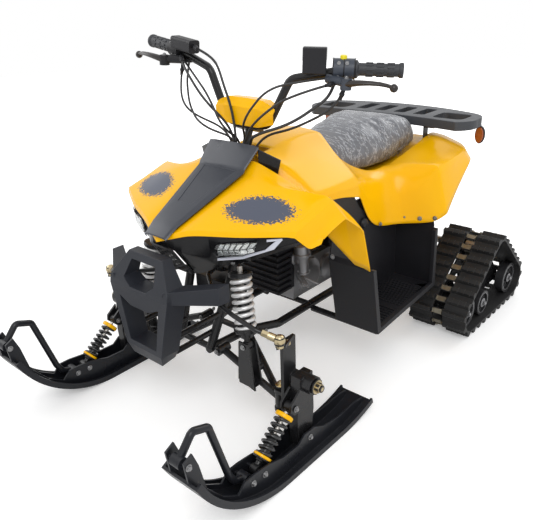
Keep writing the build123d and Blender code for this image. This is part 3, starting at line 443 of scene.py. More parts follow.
# Merged copy of a CAD node's mesh
def nodeShape(node, flat=1.0):
    shape = bmesh.new()
    shape.from_mesh(frame["nodes"][node].data)
    bmesh.ops.remove_doubles(shape, verts=shape.verts, dist=1e-5)
    if flat:
        bmesh.ops.dissolve_limit(shape, angle_limit=math.radians(flat), verts=shape.verts,
                                 edges=shape.edges)
    return shape


# Open shell through chains of points.  Edges between chains stay crisp by the
# crispness of their point, and a chain's own edges by that of the chain.
def shellFrom(chains, pointCrisp, chainCrisp):
    shape = bmesh.new()
    crease = shape.edges.layers.float.new("crease_edge")
    rows = [[shape.verts.new(point) for point in chain] for chain in chains]
    for row in rows:
        for pair in zip(row, row[1:]):
            shape.edges.new(pair)
    for near, far in zip(rows, rows[1:]):
        strip = [shape.edges.get(pair) for row in (near, far) for pair in zip(row, row[1:])]
        bmesh.ops.bridge_loops(shape, edges=strip)
    for i, row in enumerate(rows):
        for pair in zip(row, row[1:]):
            shape.edges.get(pair)[crease] = chainCrisp.get(i, 0.0)
    for near, far in zip(rows, rows[1:]):
        for k, pair in enumerate(zip(near, far)):
            edge = shape.edges.get(pair)
            if edge:
                edge[crease] = pointCrisp[k]
    bmesh.ops.mirror(shape, geom=shape.verts[:] + shape.edges[:] + shape.faces[:],
                     matrix=Matrix.Identity(4), merge_dist=1e-5, axis="X")
    bmesh.ops.recalc_face_normals(shape, faces=shape.faces)
    if sum(face.normal.z * face.calc_area() for face in shape.faces) < 0:
        bmesh.ops.reverse_faces(shape, faces=shape.faces)
    return shape


def addRod(shape, start, end, radius, endRadius=None, segments=20):
    run = end - start
    bmesh.ops.create_cone(shape, cap_ends=True, segments=segments, radius1=radius,
                          radius2=radius if endRadius is None else endRadius,
                          depth=run.length, matrix=along((start + end) / 2, run))


# Turned piece: (distance along, radius) steps from start towards end
def addTurned(shape, start, end, steps, segments=24):
    before = set(shape.verts)
    line = [shape.verts.new((radius, 0.0, distance)) for distance, radius in steps]
    edges = [shape.edges.new(pair) for pair in zip(line, line[1:])]
    bmesh.ops.spin(shape, geom=line + edges, cent=(0, 0, 0), axis=(0, 0, 1), dvec=(0, 0, 0),
                   angle=math.tau, steps=segments, use_merge=True, use_duplicate=False)
    made = [v for v in shape.verts if v not in before]
    bmesh.ops.remove_doubles(shape, verts=made, dist=1e-6)
    made = [v for v in shape.verts if v not in before]
    bmesh.ops.transform(shape, matrix=along(start, end - start), verts=made)


# Bolt: washer, hexagonal head and a small boss on top
def addBolt(shape, place, direction, radius, height):
    heading = Vector(direction).normalized()
    foot = place + heading * height * 0.28
    top = place + heading * height
    addRod(shape, place, foot, radius * 1.45)
    addRod(shape, foot, top, radius, radius * 0.97, segments=6)
    addRod(shape, top, top + heading * height * 0.3, radius * 0.55, radius * 0.45, segments=12)


def addSpring(shape, start, end, radius, wire, turns, perTurn=22, around=8):
    run = end - start
    before = set(shape.verts)
    ring = bmesh.ops.create_circle(
        shape, radius=wire, segments=around,
        matrix=Matrix.Translation((radius - wire, 0, 0)) @ Matrix.Rotation(math.pi / 2, 4, "X"))
    edges = list({edge for v in ring["verts"] for edge in v.link_edges})
    steps = int(perTurn * turns)
    bmesh.ops.spin(shape, geom=ring["verts"] + edges, cent=(0, 0, 0), axis=(0, 0, 1),
                   dvec=(0, 0, run.length / steps), angle=math.tau * turns, steps=steps,
                   use_merge=False, use_duplicate=False)
    made = [v for v in shape.verts if v not in before]
    ends = {edge for v in made for edge in v.link_edges if edge.is_boundary}
    bmesh.ops.holes_fill(shape, edges=list(ends), sides=around)
    bmesh.ops.transform(shape, matrix=along(start, run), verts=made)


def addBox(shape, matrix, size):
    bmesh.ops.create_cube(shape, size=1.0, matrix=matrix @ Matrix.Diagonal((*size, 1)))


# Box between two corners in millimetres
def addBlock(shape, low, high):
    low, high = at(*low), at(*high)
    addBox(shape, Matrix.Translation((low + high) / 2), high - low)


fenderShape = {
    # x: lip foot, lip, crest, shoulder and rear end, as (y, z)
    "stations": [
        (0, [(-572, 536), (-568, 550), (-345, 648), (-304, 688), (-286, 684)]),
        (66, [(-545, 556), (-541, 569), (-328, 659), (-292, 692), (-270, 684)]),
        (90, [(-532, 562), (-528, 575), (-322, 663), (-288, 694), (-264, 684)]),
        (200, [(-484, 566), (-480, 579), (-318, 650), (-262, 640), (-226, 560)]),
        (300, [(-424, 572), (-419, 585), (-268, 636), (-192, 572), (-136, 402)]),
        (316, [(-414, 570), (-410, 583), (-262, 622), (-186, 562), (-134, 399)]),
        (330, [(-376, 532), (-368, 546), (-258, 602), (-180, 548), (-131, 396)]),
        (346, [(-352, 542), (-342, 556), (-250, 578), (-168, 522), (-127, 389)]),
    ],
    "crisp": (1.0, 1.0, 0.95, 0.95, 1.0),
    "crispRows": {0: 1.0, 3: 0.3, 4: 0.92, 5: 0.92, 6: 0.4, 7: 1.0},
    "wall": 0.0035,
}
shape = shellFrom([[at(x, y, z) for y, z in points] for x, points in fenderShape["stations"]],
                  fenderShape["crisp"], fenderShape["crispRows"])
fender = newPiece("frontFender", shape, "fender", replaced=("front_fender",), outwards=False)
addSubdivision(fender, 3)
addWall(fender, fenderShape["wall"])

bodyShape = {
    # y: middle, deck edge, ridge, knee, flank and lower edge, as (x, z)
    "stations": [
        (-254, [(0, 700), (58, 698), (88, 680), (96, 640), (97, 620), (98, 600)]),
        (-222, [(0, 706), (60, 703), (118, 676), (176, 604), (180, 587), (182, 570)]),
        (-200, [(0, 710), (62, 706), (134, 664), (208, 604), (213, 588), (216, 572)]),
        (-90, [(0, 730), (66, 723), (130, 672), (205, 602), (214, 586), (218, 567)]),
        (8, [(0, 728), (74, 716), (132, 656), (196, 602), (212, 574), (218, 540)]),
        (18, [(0, 572), (106, 570), (131, 648), (196, 598), (212, 568), (218, 531)]),
        (60, [(0, 563), (112, 559), (140, 616), (190, 576), (212, 518), (221, 448)]),
        (110, [(0, 560), (118, 557), (149, 592), (188, 564), (210, 500), (224, 420)]),
        (150, [(0, 556), (130, 553), (155, 577), (190, 556), (214, 490), (228, 412)]),
        (200, [(0, 553), (132, 551), (157, 571), (198, 556), (228, 492), (244, 408)]),
        (232, [(0, 552), (132, 551), (156, 574), (224, 574), (304, 536), (350, 422)]),
        (262, [(0, 552), (132, 552), (158, 572), (204, 584), (332, 598), (374, 450)]),
        (330, [(0, 556), (132, 556), (161, 586), (202, 592), (338, 598), (364, 500)]),
        (456, [(0, 570), (136, 574), (167, 616), (210, 618), (322, 598), (345, 560)]),
        (500, [(0, 578), (130, 584), (160, 624), (204, 626), (306, 606), (332, 566)]),
        (560, [(0, 586), (124, 590), (152, 626), (196, 622), (264, 600), (300, 556)]),
        (628, [(0, 592), (110, 592), (136, 606), (176, 600), (214, 584), (252, 545)]),
    ],
    "crisp": (0.0, 0.7, 0.85, 0.3, 0.5, 1.0),
    "crispRows": {0: 1.0, 2: 0.4, 4: 0.6, 5: 0.9, 10: 0.2, 11: 0.55, 13: 0.3, 16: 1.0},
    "wall": 0.0035,
    "notch": (40, -200),        # half width and end of the opening for the column
}
shape = shellFrom([[at(x, y, z) for x, z in points] for y, points in bodyShape["stations"]],
                  bodyShape["crisp"], bodyShape["crispRows"])
middles = {face: face.calc_center_median() for face in shape.faces}
notchSide, notchEnd = bodyShape["notch"]
notch = [face for face, middle in middles.items()
         if middle.y < at(0, notchEnd, 0).y and abs(middle.x) < notchSide / 1000.0]
bmesh.ops.delete(shape, geom=notch, context="FACES")
bodyShell = newPiece("bodyShell", shape, "yellow", replaced=("tank_cover", "rear_fender"),
                     outwards=False)
addSubdivision(bodyShell, 3)
addWall(bodyShell, bodyShape["wall"])

# copies of CAD pieces with rounded edges: width and finish
softShapes = {
    "hood_panel": (0.0016, "hood"), "headlight_panel": (0.0016, "gloss"),
    "front_bumper": (0.005, "bumper"), "footwell_*": (0.0016, "black"),
    "rear_rack": (0.005, "rack"), "bar_pad": (0.003, "yellow"), "ski_*": (0.0016, "ski"),
    "ski_post_*": (0.002, "frame"), "knuckle_*": (0.001, "frame"),
    "control_box": (0.002, "black"), "switch_pod": (0.0012, "control"),
    "throttle_housing": (0.0012, "black"), "track_frame_*": (0.001, "frame"),
    "grille": (0.0005, "black"), "rack_stays": (0.001, "frame"),
}
for name, (width, finish) in softShapes.items():
    for node in bothSides(name):
        newPiece(node + ".soft", nodeShape(node), finish, bodyOf[node], (node,),
                 bevel=(width, 2, 40.0), outwards=False)
print("bodywork")


seatShape = {
    # metres; the front edge drops, and no point swells further than the cap
    "voxel": 0.006, "shrink": (0.985, 0.99, 0.95), "pressure": 3.2, "frames": 20,
    "frontDrop": 0.034, "frontRun": 0.24, "heldHeight": 0.014, "underHeight": 0.02,
    "smoothing": 6, "stiffness": 12, "mass": 0.3,
    "cap": 0.012, "film": 0.0016, "wrinkle": 0.0026, "creases": (26, 7, 9),
    "fineCreases": 60,
}


# Cloth pressure swells the cushion while its lower edge is held
def puffUp(piece, settings):
    start = [v.co.copy() for v in piece.data.vertices]
    low = min(v.z for v in start)
    held = piece.vertex_groups.new(name="held")
    base = [i for i, v in enumerate(start) if v.z < low + settings["heldHeight"]]
    held.add(base, 1.0, "REPLACE")
    cloth = piece.modifiers.new("cloth", "CLOTH")
    cloth.settings.quality = 5
    cloth.settings.mass = settings["mass"]
    cloth.settings.tension_stiffness = settings["stiffness"]
    cloth.settings.compression_stiffness = settings["stiffness"]
    cloth.settings.use_pressure = True
    cloth.settings.uniform_pressure_force = settings["pressure"]
    cloth.settings.vertex_group_mass = "held"
    cloth.settings.effector_weights.gravity = 0.0
    cloth.collision_settings.use_collision = False
    cloth.point_cache.frame_start = 1
    cloth.point_cache.frame_end = settings["frames"]
    for step in range(1, settings["frames"] + 1):
        bpy.context.scene.frame_set(step)
    shown = piece.evaluated_get(bpy.context.evaluated_depsgraph_get())
    moved = [v.co.copy() for v in shown.data.vertices]
    piece.modifiers.remove(cloth)
    piece.vertex_groups.remove(held)
    for v, was, now in zip(piece.data.vertices, start, moved):
        shift = now - was
        if shift.length > settings["cap"]:
            shift.length = settings["cap"]
        v.co = was + shift
    bpy.context.scene.frame_set(1)


# Cushion: the CAD's pad, drawn in a little, with its front edge dropped
def makeSeat(settings):
    shape = nodeShape("seat", 0)
    corners = [v.co.copy() for v in shape.verts]
    low = min(v.z for v in corners)
    centre = sum(corners, Vector()) / len(corners)
    centre.z = low
    shrink = Matrix.Diagonal((*settings["shrink"], 1))
    bmesh.ops.transform(
        shape, verts=shape.verts,
        matrix=Matrix.Translation(centre) @ shrink @ Matrix.Translation(-centre))
    front = min(v.co.y for v in shape.verts)
    high = max(v.co.z for v in shape.verts)
    for v in shape.verts:
        share = min((v.co.y - front) / settings["frontRun"], 1.0)
        v.co.z -= (1 - share) ** 2 * settings["frontDrop"] * (v.co.z - low) / (high - low)
    cushion = newPiece("seatCushion", shape, "seat", replaced=("seat",), smooth=180,
                       outwards=False)
    remesh = cushion.modifiers.new("remesh", "REMESH")
    remesh.mode = "VOXEL"
    remesh.voxel_size = settings["voxel"]
    depsgraph = bpy.context.evaluated_depsgraph_get()
    skin = bpy.data.meshes.new_from_object(cushion.evaluated_get(depsgraph))
    cushion.modifiers.clear()
    cushion.data = skin
    shape = bmesh.new()
    shape.from_mesh(skin)
    for turn in range(settings["smoothing"]):
        bmesh.ops.smooth_vert(shape, verts=shape.verts, factor=0.5, use_axis_x=True,
                              use_axis_y=True, use_axis_z=True)
    shape.to_mesh(skin)
    shape.free()
    skin.shade_smooth()
    puffUp(cushion, settings)
    return cushion


def makeFilm(cushion, settings):
    shape = bmesh.new()
    shape.from_mesh(cushion.data)
    low = min(v.co.z for v in shape.verts)
    low += settings["underHeight"]
    under = [face for face in shape.faces
             if face.calc_center_median().z < low or face.normal.z < -0.6]
    bmesh.ops.delete(shape, geom=under, context="FACES")
    shape.normal_update()
    # slanting creases over the crown, and finer ones between them
    acrossScale, alongScale, heightScale = settings["creases"]
    for v in shape.verts:
        p = v.co
        slant = p.x * 0.8 + p.y * 0.9
        spot = Vector((slant * acrossScale, (p.y - p.x) * alongScale, p.z * heightScale))
        fold = max(1.0 - abs(noise.noise(spot)) * 2.2, 0.0) * 0.5
        small = max(noise.noise(p * settings["fineCreases"]), 0.0) * 0.105
        v.co = p + v.normal * (settings["film"] + settings["wrinkle"] * (fold + small))
    film = newPiece("seatFilm", shape, "film", smooth=180, outwards=False)
    area = sum(face.area for face in film.data.polygons)
    print("film area", round(area, 4))
    return film, area


cushion = makeSeat(seatShape)
film, filmArea = makeFilm(cushion, seatShape)
addSubdivision(film, 1)
addSubdivision(cushion, 1)
print("seat")


lampShape = {
    # x, foot and lip of the panel, as (y, z)
    "panel": [(60, (-545, 512), (-540, 558)), (123, (-501, 498), (-511, 566)),
              (200, (-472, 512), (-478, 569)), (260, (-428, 534), (-442, 573)),
              (316, (-392, 556), (-402, 574))],
    "cells": 6, "from": 142.0, "to": 226.0,
    # outlines as (x, share of the panel's height), then the two distances out from it
    "tray": ([(130, 0.30), (143, 0.66), (200, 0.70), (234, 0.70), (226, 0.22), (200, 0.14),
              (141, 0.10)], 0.2, 2.0),
    "lens": ([(131, 0.30), (144, 0.65), (200, 0.69), (233, 0.69), (225, 0.24), (200, 0.15),
              (142, 0.11)], 6.0, 7.6),
    "upperCell": ([(0, 0.40), (9, 0.64), (20, 0.64), (11, 0.40)], 2.0, 5.0),
    "lowerCell": ([(10, 0.36), (13, 0.16), (0, 0.14), (-1, 0.36)], 2.0, 4.2),
    "guide": [([(137, -0.06), (138, 0.04), (200, 0.08), (246, 0.12), (248, 0.0),
                (200, -0.05)], 0.5, 4.5),
              ([(244, 0.0), (246, 0.14), (270, 0.60), (284, 0.66), (262, 0.02)], 0.5, 4.5),
              ([(252, 0.62), (253, 0.76), (284, 0.78), (284, 0.62)], 0.5, 4.5)],
}


# Place on the panel: x from the middle, share of its height, distance out from it
def onPanel(side, x, share, out):
    lines = lampShape["panel"]
    for (x0, foot0, head0), (x1, foot1, head1) in zip(lines, lines[1:]):
        if x0 <= x <= x1:
            t = (x - x0) / (x1 - x0)
            foot = Vector((x, *(a + t * (b - a) for a, b in zip(foot0, foot1))))
            head = Vector((x, *(a + t * (b - a) for a, b in zip(head0, head1))))
            across = Vector((x1 - x0, foot1[0] - foot0[0], foot1[1] - foot0[1]))
            normal = (head - foot).cross(across).normalized()
            if normal.y > 0:
                normal = -normal
            p = foot + (head - foot) * share + normal * out
            return at(side * p.x, p.y, p.z)
    raise ValueError(x)


# Slab that follows the panel: corners as (x, share), between two heights
def panelSlab(shape, side, corners, low, high):
    loops = [[shape.verts.new(onPanel(side, x, share, out)) for x, share in corners]
             for out in (low, high)]
    edges = [edge for loop in loops for edge in shape.faces.new(loop).edges]
    bmesh.ops.bridge_loops(shape, edges=edges)


for sideName, side in sides:
    shape = bmesh.new()
    panelSlab(shape, side, *lampShape["tray"])
    newPiece("lampTray." + sideName, shape, "gloss", replaced=(
        ("headlights",) if side > 0 else ()), slotName="black_plastic")
    shape = bmesh.new()
    pitch = (lampShape["to"] - lampShape["from"]) / lampShape["cells"]
    for i in range(lampShape["cells"]):
        x = lampShape["from"] + i * pitch
        for corners, low, high in (lampShape["upperCell"], lampShape["lowerCell"]):
            panelSlab(shape, side, [(x + dx, share) for dx, share in corners], low, high)
    newPiece("lampReflectors." + sideName, shape, "reflector", bevel=(0.0012,))
    shape = bmesh.new()
    panelSlab(shape, side, *lampShape["lens"])
    newPiece("lampLens." + sideName, shape, "clear")
    # light guide: a bent strip below and beside the lamp
    shape = bmesh.new()
    for strip in lampShape["guide"]:
        panelSlab(shape, side, *strip)
    newPiece("lightGuide." + sideName, shape, "guide", bevel=(0.001,))
print("lamps")


shockShapes = {
    # lower and upper eye, coil radius, wire, turns, finishes of coil and collars, eye axis
    "front_shock_*": ((206, -478, 272), (160, -446, 486), 29, 5.4, 8, "spring", "frame",
                      (0, 1, 0)),
    "rear_shock": ((0, 470, 260), (0, 428, 468), 28, 5.0, 8, "spring", "frame", (1, 0, 0)),
    "ski_shock_*": ((358, -628, 60), (358, -497, 164), 22, 3.9, 7, "coilBlack", "yellow",
                    (1, 0, 0)),
}


# Spring and damper; steps along it are shares of its length
def makeShock(node, side, settings):
    low, high, coil, wire, turns, coilFinish, collarFinish, axis = settings
    start, end = (at(side * x, y, z) for x, y, z in (low, high))
    run = end - start
    long, r = run.length, coil / 1000.0
    body = bodyOf[node]
    shape = bmesh.new()
    addSpring(shape, start + run * 0.205, start + run * 0.83, r, wire / 1000.0, turns)
    newPiece(node + ".coil", shape, coilFinish, body, (node,), smooth=180)
    shape = bmesh.new()
    addTurned(shape, start, end, [
        (0.008, 0.0), (0.008, 0.008), (0.018, 0.008), (0.02, r * 0.52), (long * 0.14, r * 0.55),
        (long * 0.15, r * 0.95), (long * 0.17, r), (long * 0.19, r * 0.96),
        (long * 0.195, r * 0.55), (long * 0.54, r * 0.55), (long * 0.55, r * 0.5),
        (long * 0.55, 0.0)])
    half = Vector(axis) * 0.01
    for eye in (start, end):
        addTurned(shape, eye - half, eye + half, [
            (0.0, 0.0065), (0.0, 0.0115), (0.001, 0.0125), (0.019, 0.0125), (0.02, 0.0115),
            (0.02, 0.0065), (0.0, 0.0065)])
    newPiece(node + ".damper", shape, "frame", body)
    shape = bmesh.new()
    addTurned(shape, start, end, [(long * 0.5, 0.0), (long * 0.5, r * 0.24),
                                  (long - 0.016, r * 0.24), (long - 0.016, 0.0)])
    newPiece(node + ".rod", shape, "steel", body)
    shape = bmesh.new()
    for foot, thick in ((long * 0.195, 0.0035), (long * 0.835, 0.0055)):
        addTurned(shape, start, end, [
            (foot - thick, r * 0.6), (foot - thick, r), (foot - thick * 0.6, r * 1.08),
            (foot + thick * 0.6, r * 1.08), (foot + thick, r), (foot + thick, r * 0.3),
            (foot - thick, r * 0.3)])
    newPiece(node + ".collar", shape, collarFinish, body)


for name, settings in shockShapes.items():
    for node, side in zip(bothSides(name), (1, -1)):
        makeShock(node, side, settings)
print("springs")


barShape = {
    # ends of the left grip's line before the bars' turn at rest, which is made round
    # the column's leaning axis, through foot
    "start": (262, -184, 938), "end": (384, -137, 942), "turn": 13.0,
    "foot": (0, -361, 395), "lean": 22.0,
}


def onBars(point):
    lean = math.radians(barShape["lean"])
    foot = Vector(barShape["foot"])
    turn = Matrix.Rotation(math.radians(barShape["turn"]), 3,
                           Vector((0, math.sin(lean), math.cos(lean))))
    return at(*(foot + turn @ (Vector(point) - foot)))


# Place beside a grip: distance along it, ahead of it and above it
def atGrip(side, distance, ahead=0.0, up=0.0):
    start, end = Vector(barShape["start"]), Vector(barShape["end"])
    heading = (end - start).normalized()
    flat = math.hypot(heading.x, heading.y)
    x = start.x + heading.x * distance + heading.y / flat * ahead
    y = start.y + heading.y * distance - heading.x / flat * ahead
    return onBars((side * x, y, start.z + heading.z * distance + up))


gripShape = {
    "rings": 3, "pads": 9, "from": 34.0, "pitch": 26.0, "radius": 15.6,
    "pad": (0.0066, 0.0036, 0.018),
}
leverShape = {
    # along the grip, ahead of it and above it, with the blade's half width in metres
    "line": [(-4, 44, -29), (10, 54, -25), (28, 62, -22), (52, 66, -21), (76, 65.5, -22.5),
             (94, 63, -26), (108, 60, -31)],
    "half": [0.0115, 0.0108, 0.0092, 0.0078, 0.0070, 0.0064, 0.0060],
    "ball": (110, 60, -32), "ballRadius": 0.0102,
}
for sideName, side in sides:
    first, last = atGrip(side, 15), atGrip(side, 131)
    shape = bmesh.new()
    addTurned(shape, first, last, [
        (0.0, 0.0112), (0.0, 0.021), (0.0012, 0.0222), (0.004, 0.0222), (0.0055, 0.0205),
        (0.008, 0.0162), (0.012, 0.0155), (0.104, 0.0155), (0.1065, 0.0172), (0.1085, 0.0185),
        (0.115, 0.0185), (0.1165, 0.017), (0.1165, 0.0)], 32)
    for ring in range(gripShape["rings"]):
        middle = gripShape["from"] + ring * gripShape["pitch"]
        for pad in range(gripShape["pads"]):
            angle = math.tau * (pad + 0.25 * ring) / gripShape["pads"]
            out = Matrix.Translation((0, gripShape["radius"] / 1000.0, middle / 1000.0))
            addBox(shape, along(first, last - first) @ Matrix.Rotation(angle, 4, "Z") @ out,
                   gripShape["pad"])
    newPiece("grip." + sideName, shape, "grip", "steering", ("grip_" + sideName,),
             bevel=(0.0007, 1, 50.0))
    # brake lever: tapered blade with a flattened section and a ball
    shape = bmesh.new()
    spots = [atGrip(side, *point) for point in leverShape["line"]]
    last = len(spots) - 1
    rings = []
    for i, (spot, half) in enumerate(zip(spots, leverShape["half"])):
        heading = spots[min(i + 1, last)] - spots[max(i - 1, 0)]
        flat = Matrix.Diagonal((half * 1.15, half * 0.75, 1, 1))
        ring = bmesh.ops.create_circle(shape, radius=1.0, segments=12, cap_ends=i in (0, last),
                                       matrix=along(spot, heading) @ flat)
        rings.append([e for v in ring["verts"] for e in v.link_edges])
    for near, far in zip(rings, rings[1:]):
        bmesh.ops.bridge_loops(shape, edges=list(set(near) | set(far)))
    ball = Matrix.Translation(atGrip(side, *leverShape["ball"]))
    bmesh.ops.create_uvsphere(shape, u_segments=20, v_segments=12,
                              radius=leverShape["ballRadius"], matrix=ball)
    addRod(shape, atGrip(side, -4, 44, -39), atGrip(side, -4, 44, -19), 0.0095)
    newPiece("lever." + sideName, shape, "lever", "steering", ("brake_lever_" + sideName,))
    shape = bmesh.new()
    pivot = atGrip(side, -4, 44, -16)
    addBolt(shape, pivot, atGrip(side, -4, 44, 0) - pivot, 0.0048, 0.005)
    for distance in (-6, -26):
        for up in (17, -17):
            screw = atGrip(side, distance, 21, up)
            addBolt(shape, screw, atGrip(side, distance, 40, up) - screw, 0.0032, 0.0045)
    newPiece("controlScrews." + sideName, shape, "bolt", "steering")

shape = bmesh.new()
addTurned(shape, atGrip(1, -16, 0, 22), atGrip(1, -16, 0, 40), [
    (0.0, 0.0), (0.0, 0.0085), (0.008, 0.0085), (0.0105, 0.0072), (0.0115, 0.0)])
newPiece("stopButton", shape, "buttonYellow", "steering")
shape = bmesh.new()
for distance in (-40, -13, 13):
    addTurned(shape, atGrip(1, distance - 1), atGrip(1, distance + 2), [
        (0.0, 0.012), (0.0, 0.0252), (0.0007, 0.0258), (0.0023, 0.0258), (0.003, 0.0252),
        (0.003, 0.012), (0.0, 0.012)], 40)
newPiece("podBands", shape, "black", "steering")

# Thinner cables beside the CAD's; they end beside the column, like those
cableShape = {
    # radius in metres, places by the grips as (side, along, ahead, up), then by the column
    "leftLoop": (0.0032, [(1, -30, 30, -30), (1, -70, 60, -36), (1, -140, 70, -60)],
                 [(120, -296, 850), (62, -318, 796), (8, -248, 740), (8, -282, 650)]),
    "leftDrop": (0.0034, [(1, -8, 36, -40), (1, -20, 34, -86)],
                 [(196, -236, 812), (120, -240, 768), (28, -230, 742), (24, -262, 655)]),
    "rightDrop": (0.0030, [(-1, -44, 10, -36), (-1, -36, 14, -90)],
                  [(-214, -240, 796), (-140, -250, 768), (-28, -230, 744), (-24, -262, 655)]),
    "rightPair": (0.0034, [(-1, -56, 22, -14), (-1, -104, 48, -26)],
                  [(-130, -300, 880), (-62, -322, 822), (-8, -248, 746), (-8, -280, 650)]),
    "rightBack": (0.0034, [(-1, -112, 18, 22), (-1, -142, 26, 20)],
                  [(-84, -246, 936), (-48, -282, 880), (-14, -268, 800), (-8, -268, 700)]),
}
for name, (radius, gripPoints, barPoints) in cableShape.items():
    route = [atGrip(*point) for point in gripPoints] + [onBars(point) for point in barPoints]
    data = bpy.data.curves.new(name, "CURVE")
    data.dimensions = "3D"
    line = data.splines.new("NURBS")
    line.points.add(len(route) - 1)
    for spot, point in zip(line.points, route):
        spot.co = (*point, 1.0)
    line.order_u = 4
    line.use_endpoint_u = True
    data.resolution_u = 10
    data.bevel_depth = radius
    data.bevel_resolution = 3
    data.use_fill_caps = True
    data.materials.append(finishes["cable"])
    cableLine = addObject("cable." + name, data)
    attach(cableLine, "steering")
    shape = bmesh.new()
    first, second = route[0], route[1]
    addTurned(shape, first, second, [
        (-0.004, 0.0), (-0.004, radius * 1.5), (0.012, radius * 1.7), (0.014, radius * 2.1),
        (0.018, radius * 2.1), (0.020, radius * 1.6), (0.030, radius * 1.3), (0.030, 0.0)], 16)
    newPiece("ferrule." + name, shape, "black", "steering")
print("controls")


engineShape = {
    # blocks from corner to corner; the fins stand round the barrel
    "blocks": [((-60, -112, 206), (60, 112, 322)), ((-44, -72, 418), (44, 30, 440)),
               ((-32, -58, 439), (32, 16, 456))],
    "barrel": ((0, -22, 316), (0, -22, 420), 0.037), "coverFoot": 56, "boltSide": 62,
    "fins": 9, "finPitch": 9.6, "finFoot": 330, "finThick": 3.4,
    # side covers: y, z, radius in metres and outer x
    "covers": [(-38, 268, 0.060, 84), (62, 262, 0.044, 78)], "coverBolts": 6,
}
shape = bmesh.new()
for low, high in engineShape["blocks"]:
    addBlock(shape, low, high)
foot, top, radius = engineShape["barrel"]
addRod(shape, at(*foot), at(*top), radius, segments=32)
for k in range(engineShape["fins"]):
    z = engineShape["finFoot"] + k * engineShape["finPitch"]
    addBlock(shape, (-50, -78, z), (50, 34, z + engineShape["finThick"]))
for sideName, side in sides:
    for y, z, r, deep in engineShape["covers"]:
        addTurned(shape, at(side * engineShape["coverFoot"], y, z), at(side * deep, y, z), [
            (0.0, 0.0), (0.0, r), (0.006, r), (0.006, r * 0.94), (0.014, r * 0.90),
            (deep / 1000 - 0.061, r * 0.62), (deep / 1000 - 0.058, r * 0.5),
            (deep / 1000 - 0.058, 0.0)], 40)
        for k in range(engineShape["coverBolts"]):
            angle = math.tau * k / engineShape["coverBolts"]
            place = at(side * engineShape["boltSide"], y + math.cos(angle) * r * 920,
                       z + math.sin(angle) * r * 920)
            addBolt(shape, place, (side, 0, 0), 0.0035, 0.005)
newPiece("engineCase", shape, "alloy", replaced=("engine_block",), bevel=(0.0022, 2, 40.0))

carburettorShape = {
    "body": [(0.0, 0.0), (0.0, 0.017), (0.006, 0.020), (0.008, 0.020), (0.010, 0.0165),
             (0.05, 0.0175), (0.062, 0.0245), (0.066, 0.0265), (0.070, 0.0265), (0.072, 0.023),
             (0.096, 0.022), (0.1, 0.017), (0.1, 0.0)],
    "neck": [(0.0, 0.0), (0.0, 0.021), (0.004, 0.024), (0.010, 0.024), (0.012, 0.019),
             (0.03, 0.019), (0.038, 0.0)],
    "nipples": [(-122, 300), (-108, 292), (-96, 284)],
    "screwHeights": (318, 394), "screwAngles": (0.6, 2.6, 4.6),
}
shape = bmesh.new()
addTurned(shape, at(98, -108, 306), at(98, -116, 408), carburettorShape["body"], 28)
addTurned(shape, at(66, -110, 352), at(104, -112, 352), carburettorShape["neck"], 24)
for y, z in carburettorShape["nipples"]:
    tip = at(112, y - 10, z - 18)
    addRod(shape, at(84, y, z), tip, 0.0045, segments=12)
    addBolt(shape, tip, (1, -0.4, -0.6), 0.005, 0.006)
addRod(shape, at(70, -96, 288), at(128, -70, 262), 0.0035, segments=12)
for z in carburettorShape["screwHeights"]:
    for angle in carburettorShape["screwAngles"]:
        addBolt(shape, at(98 + math.cos(angle) * 20, -112 + math.sin(angle) * 20, z),
                (0, 0, 1), 0.003, 0.005)
newPiece("carburettor", shape, "alloy", bevel=(0.0008, 1, 40.0))

# dark parts round the engine: fan housing, air box, liners behind the covers
darkShape = {
    "ribs": 8, "ribFoot": 262, "ribPitch": 19, "ribThick": 9,
    "blocks": [((-70, -198, 258), (72, -120, 410)), ((-74, 60, 330), (74, 190, 430)),
               ((-60, -402, 300), (60, -318, 372))],
    "knob": [(0.0, 0.0), (0.0, 0.0155), (0.010, 0.0165), (0.016, 0.013), (0.019, 0.006),
             (0.0195, 0.0)],
}
shape = bmesh.new()
for k in range(darkShape["ribs"]):
    z = darkShape["ribFoot"] + k * darkShape["ribPitch"]
    addBlock(shape, (-78, -206, z), (80, -140, z + darkShape["ribThick"]))
for low, high in darkShape["blocks"]:
    addBlock(shape, low, high)
for sideName, side in sides:
    addBlock(shape, (side * 193, -112, 430), (side * 197, 84, 524))
    addTurned(shape, at(side * 205, 40, 449), at(side * 224, 40, 449), darkShape["knob"])
newPiece("engineDark", shape, "black", bevel=(0.002, 2, 40.0))

cheekShape = {
    "corners": [(88, -283, 722), (148, -262, 697), (136, -262, 655), (90, -283, 676)],
    "thick": 0.006,
}
shape = bmesh.new()
for sideName, side in sides:
    shape.faces.new([shape.verts.new(at(side * x, y, z)) for x, y, z in cheekShape["corners"]])
bmesh.ops.recalc_face_normals(shape, faces=shape.faces)
bmesh.ops.solidify(shape, geom=shape.faces[:], thickness=cheekShape["thick"])
newPiece("hoodCheeks", shape, "gloss", bevel=(0.001, 2, 40.0))
print("engine")


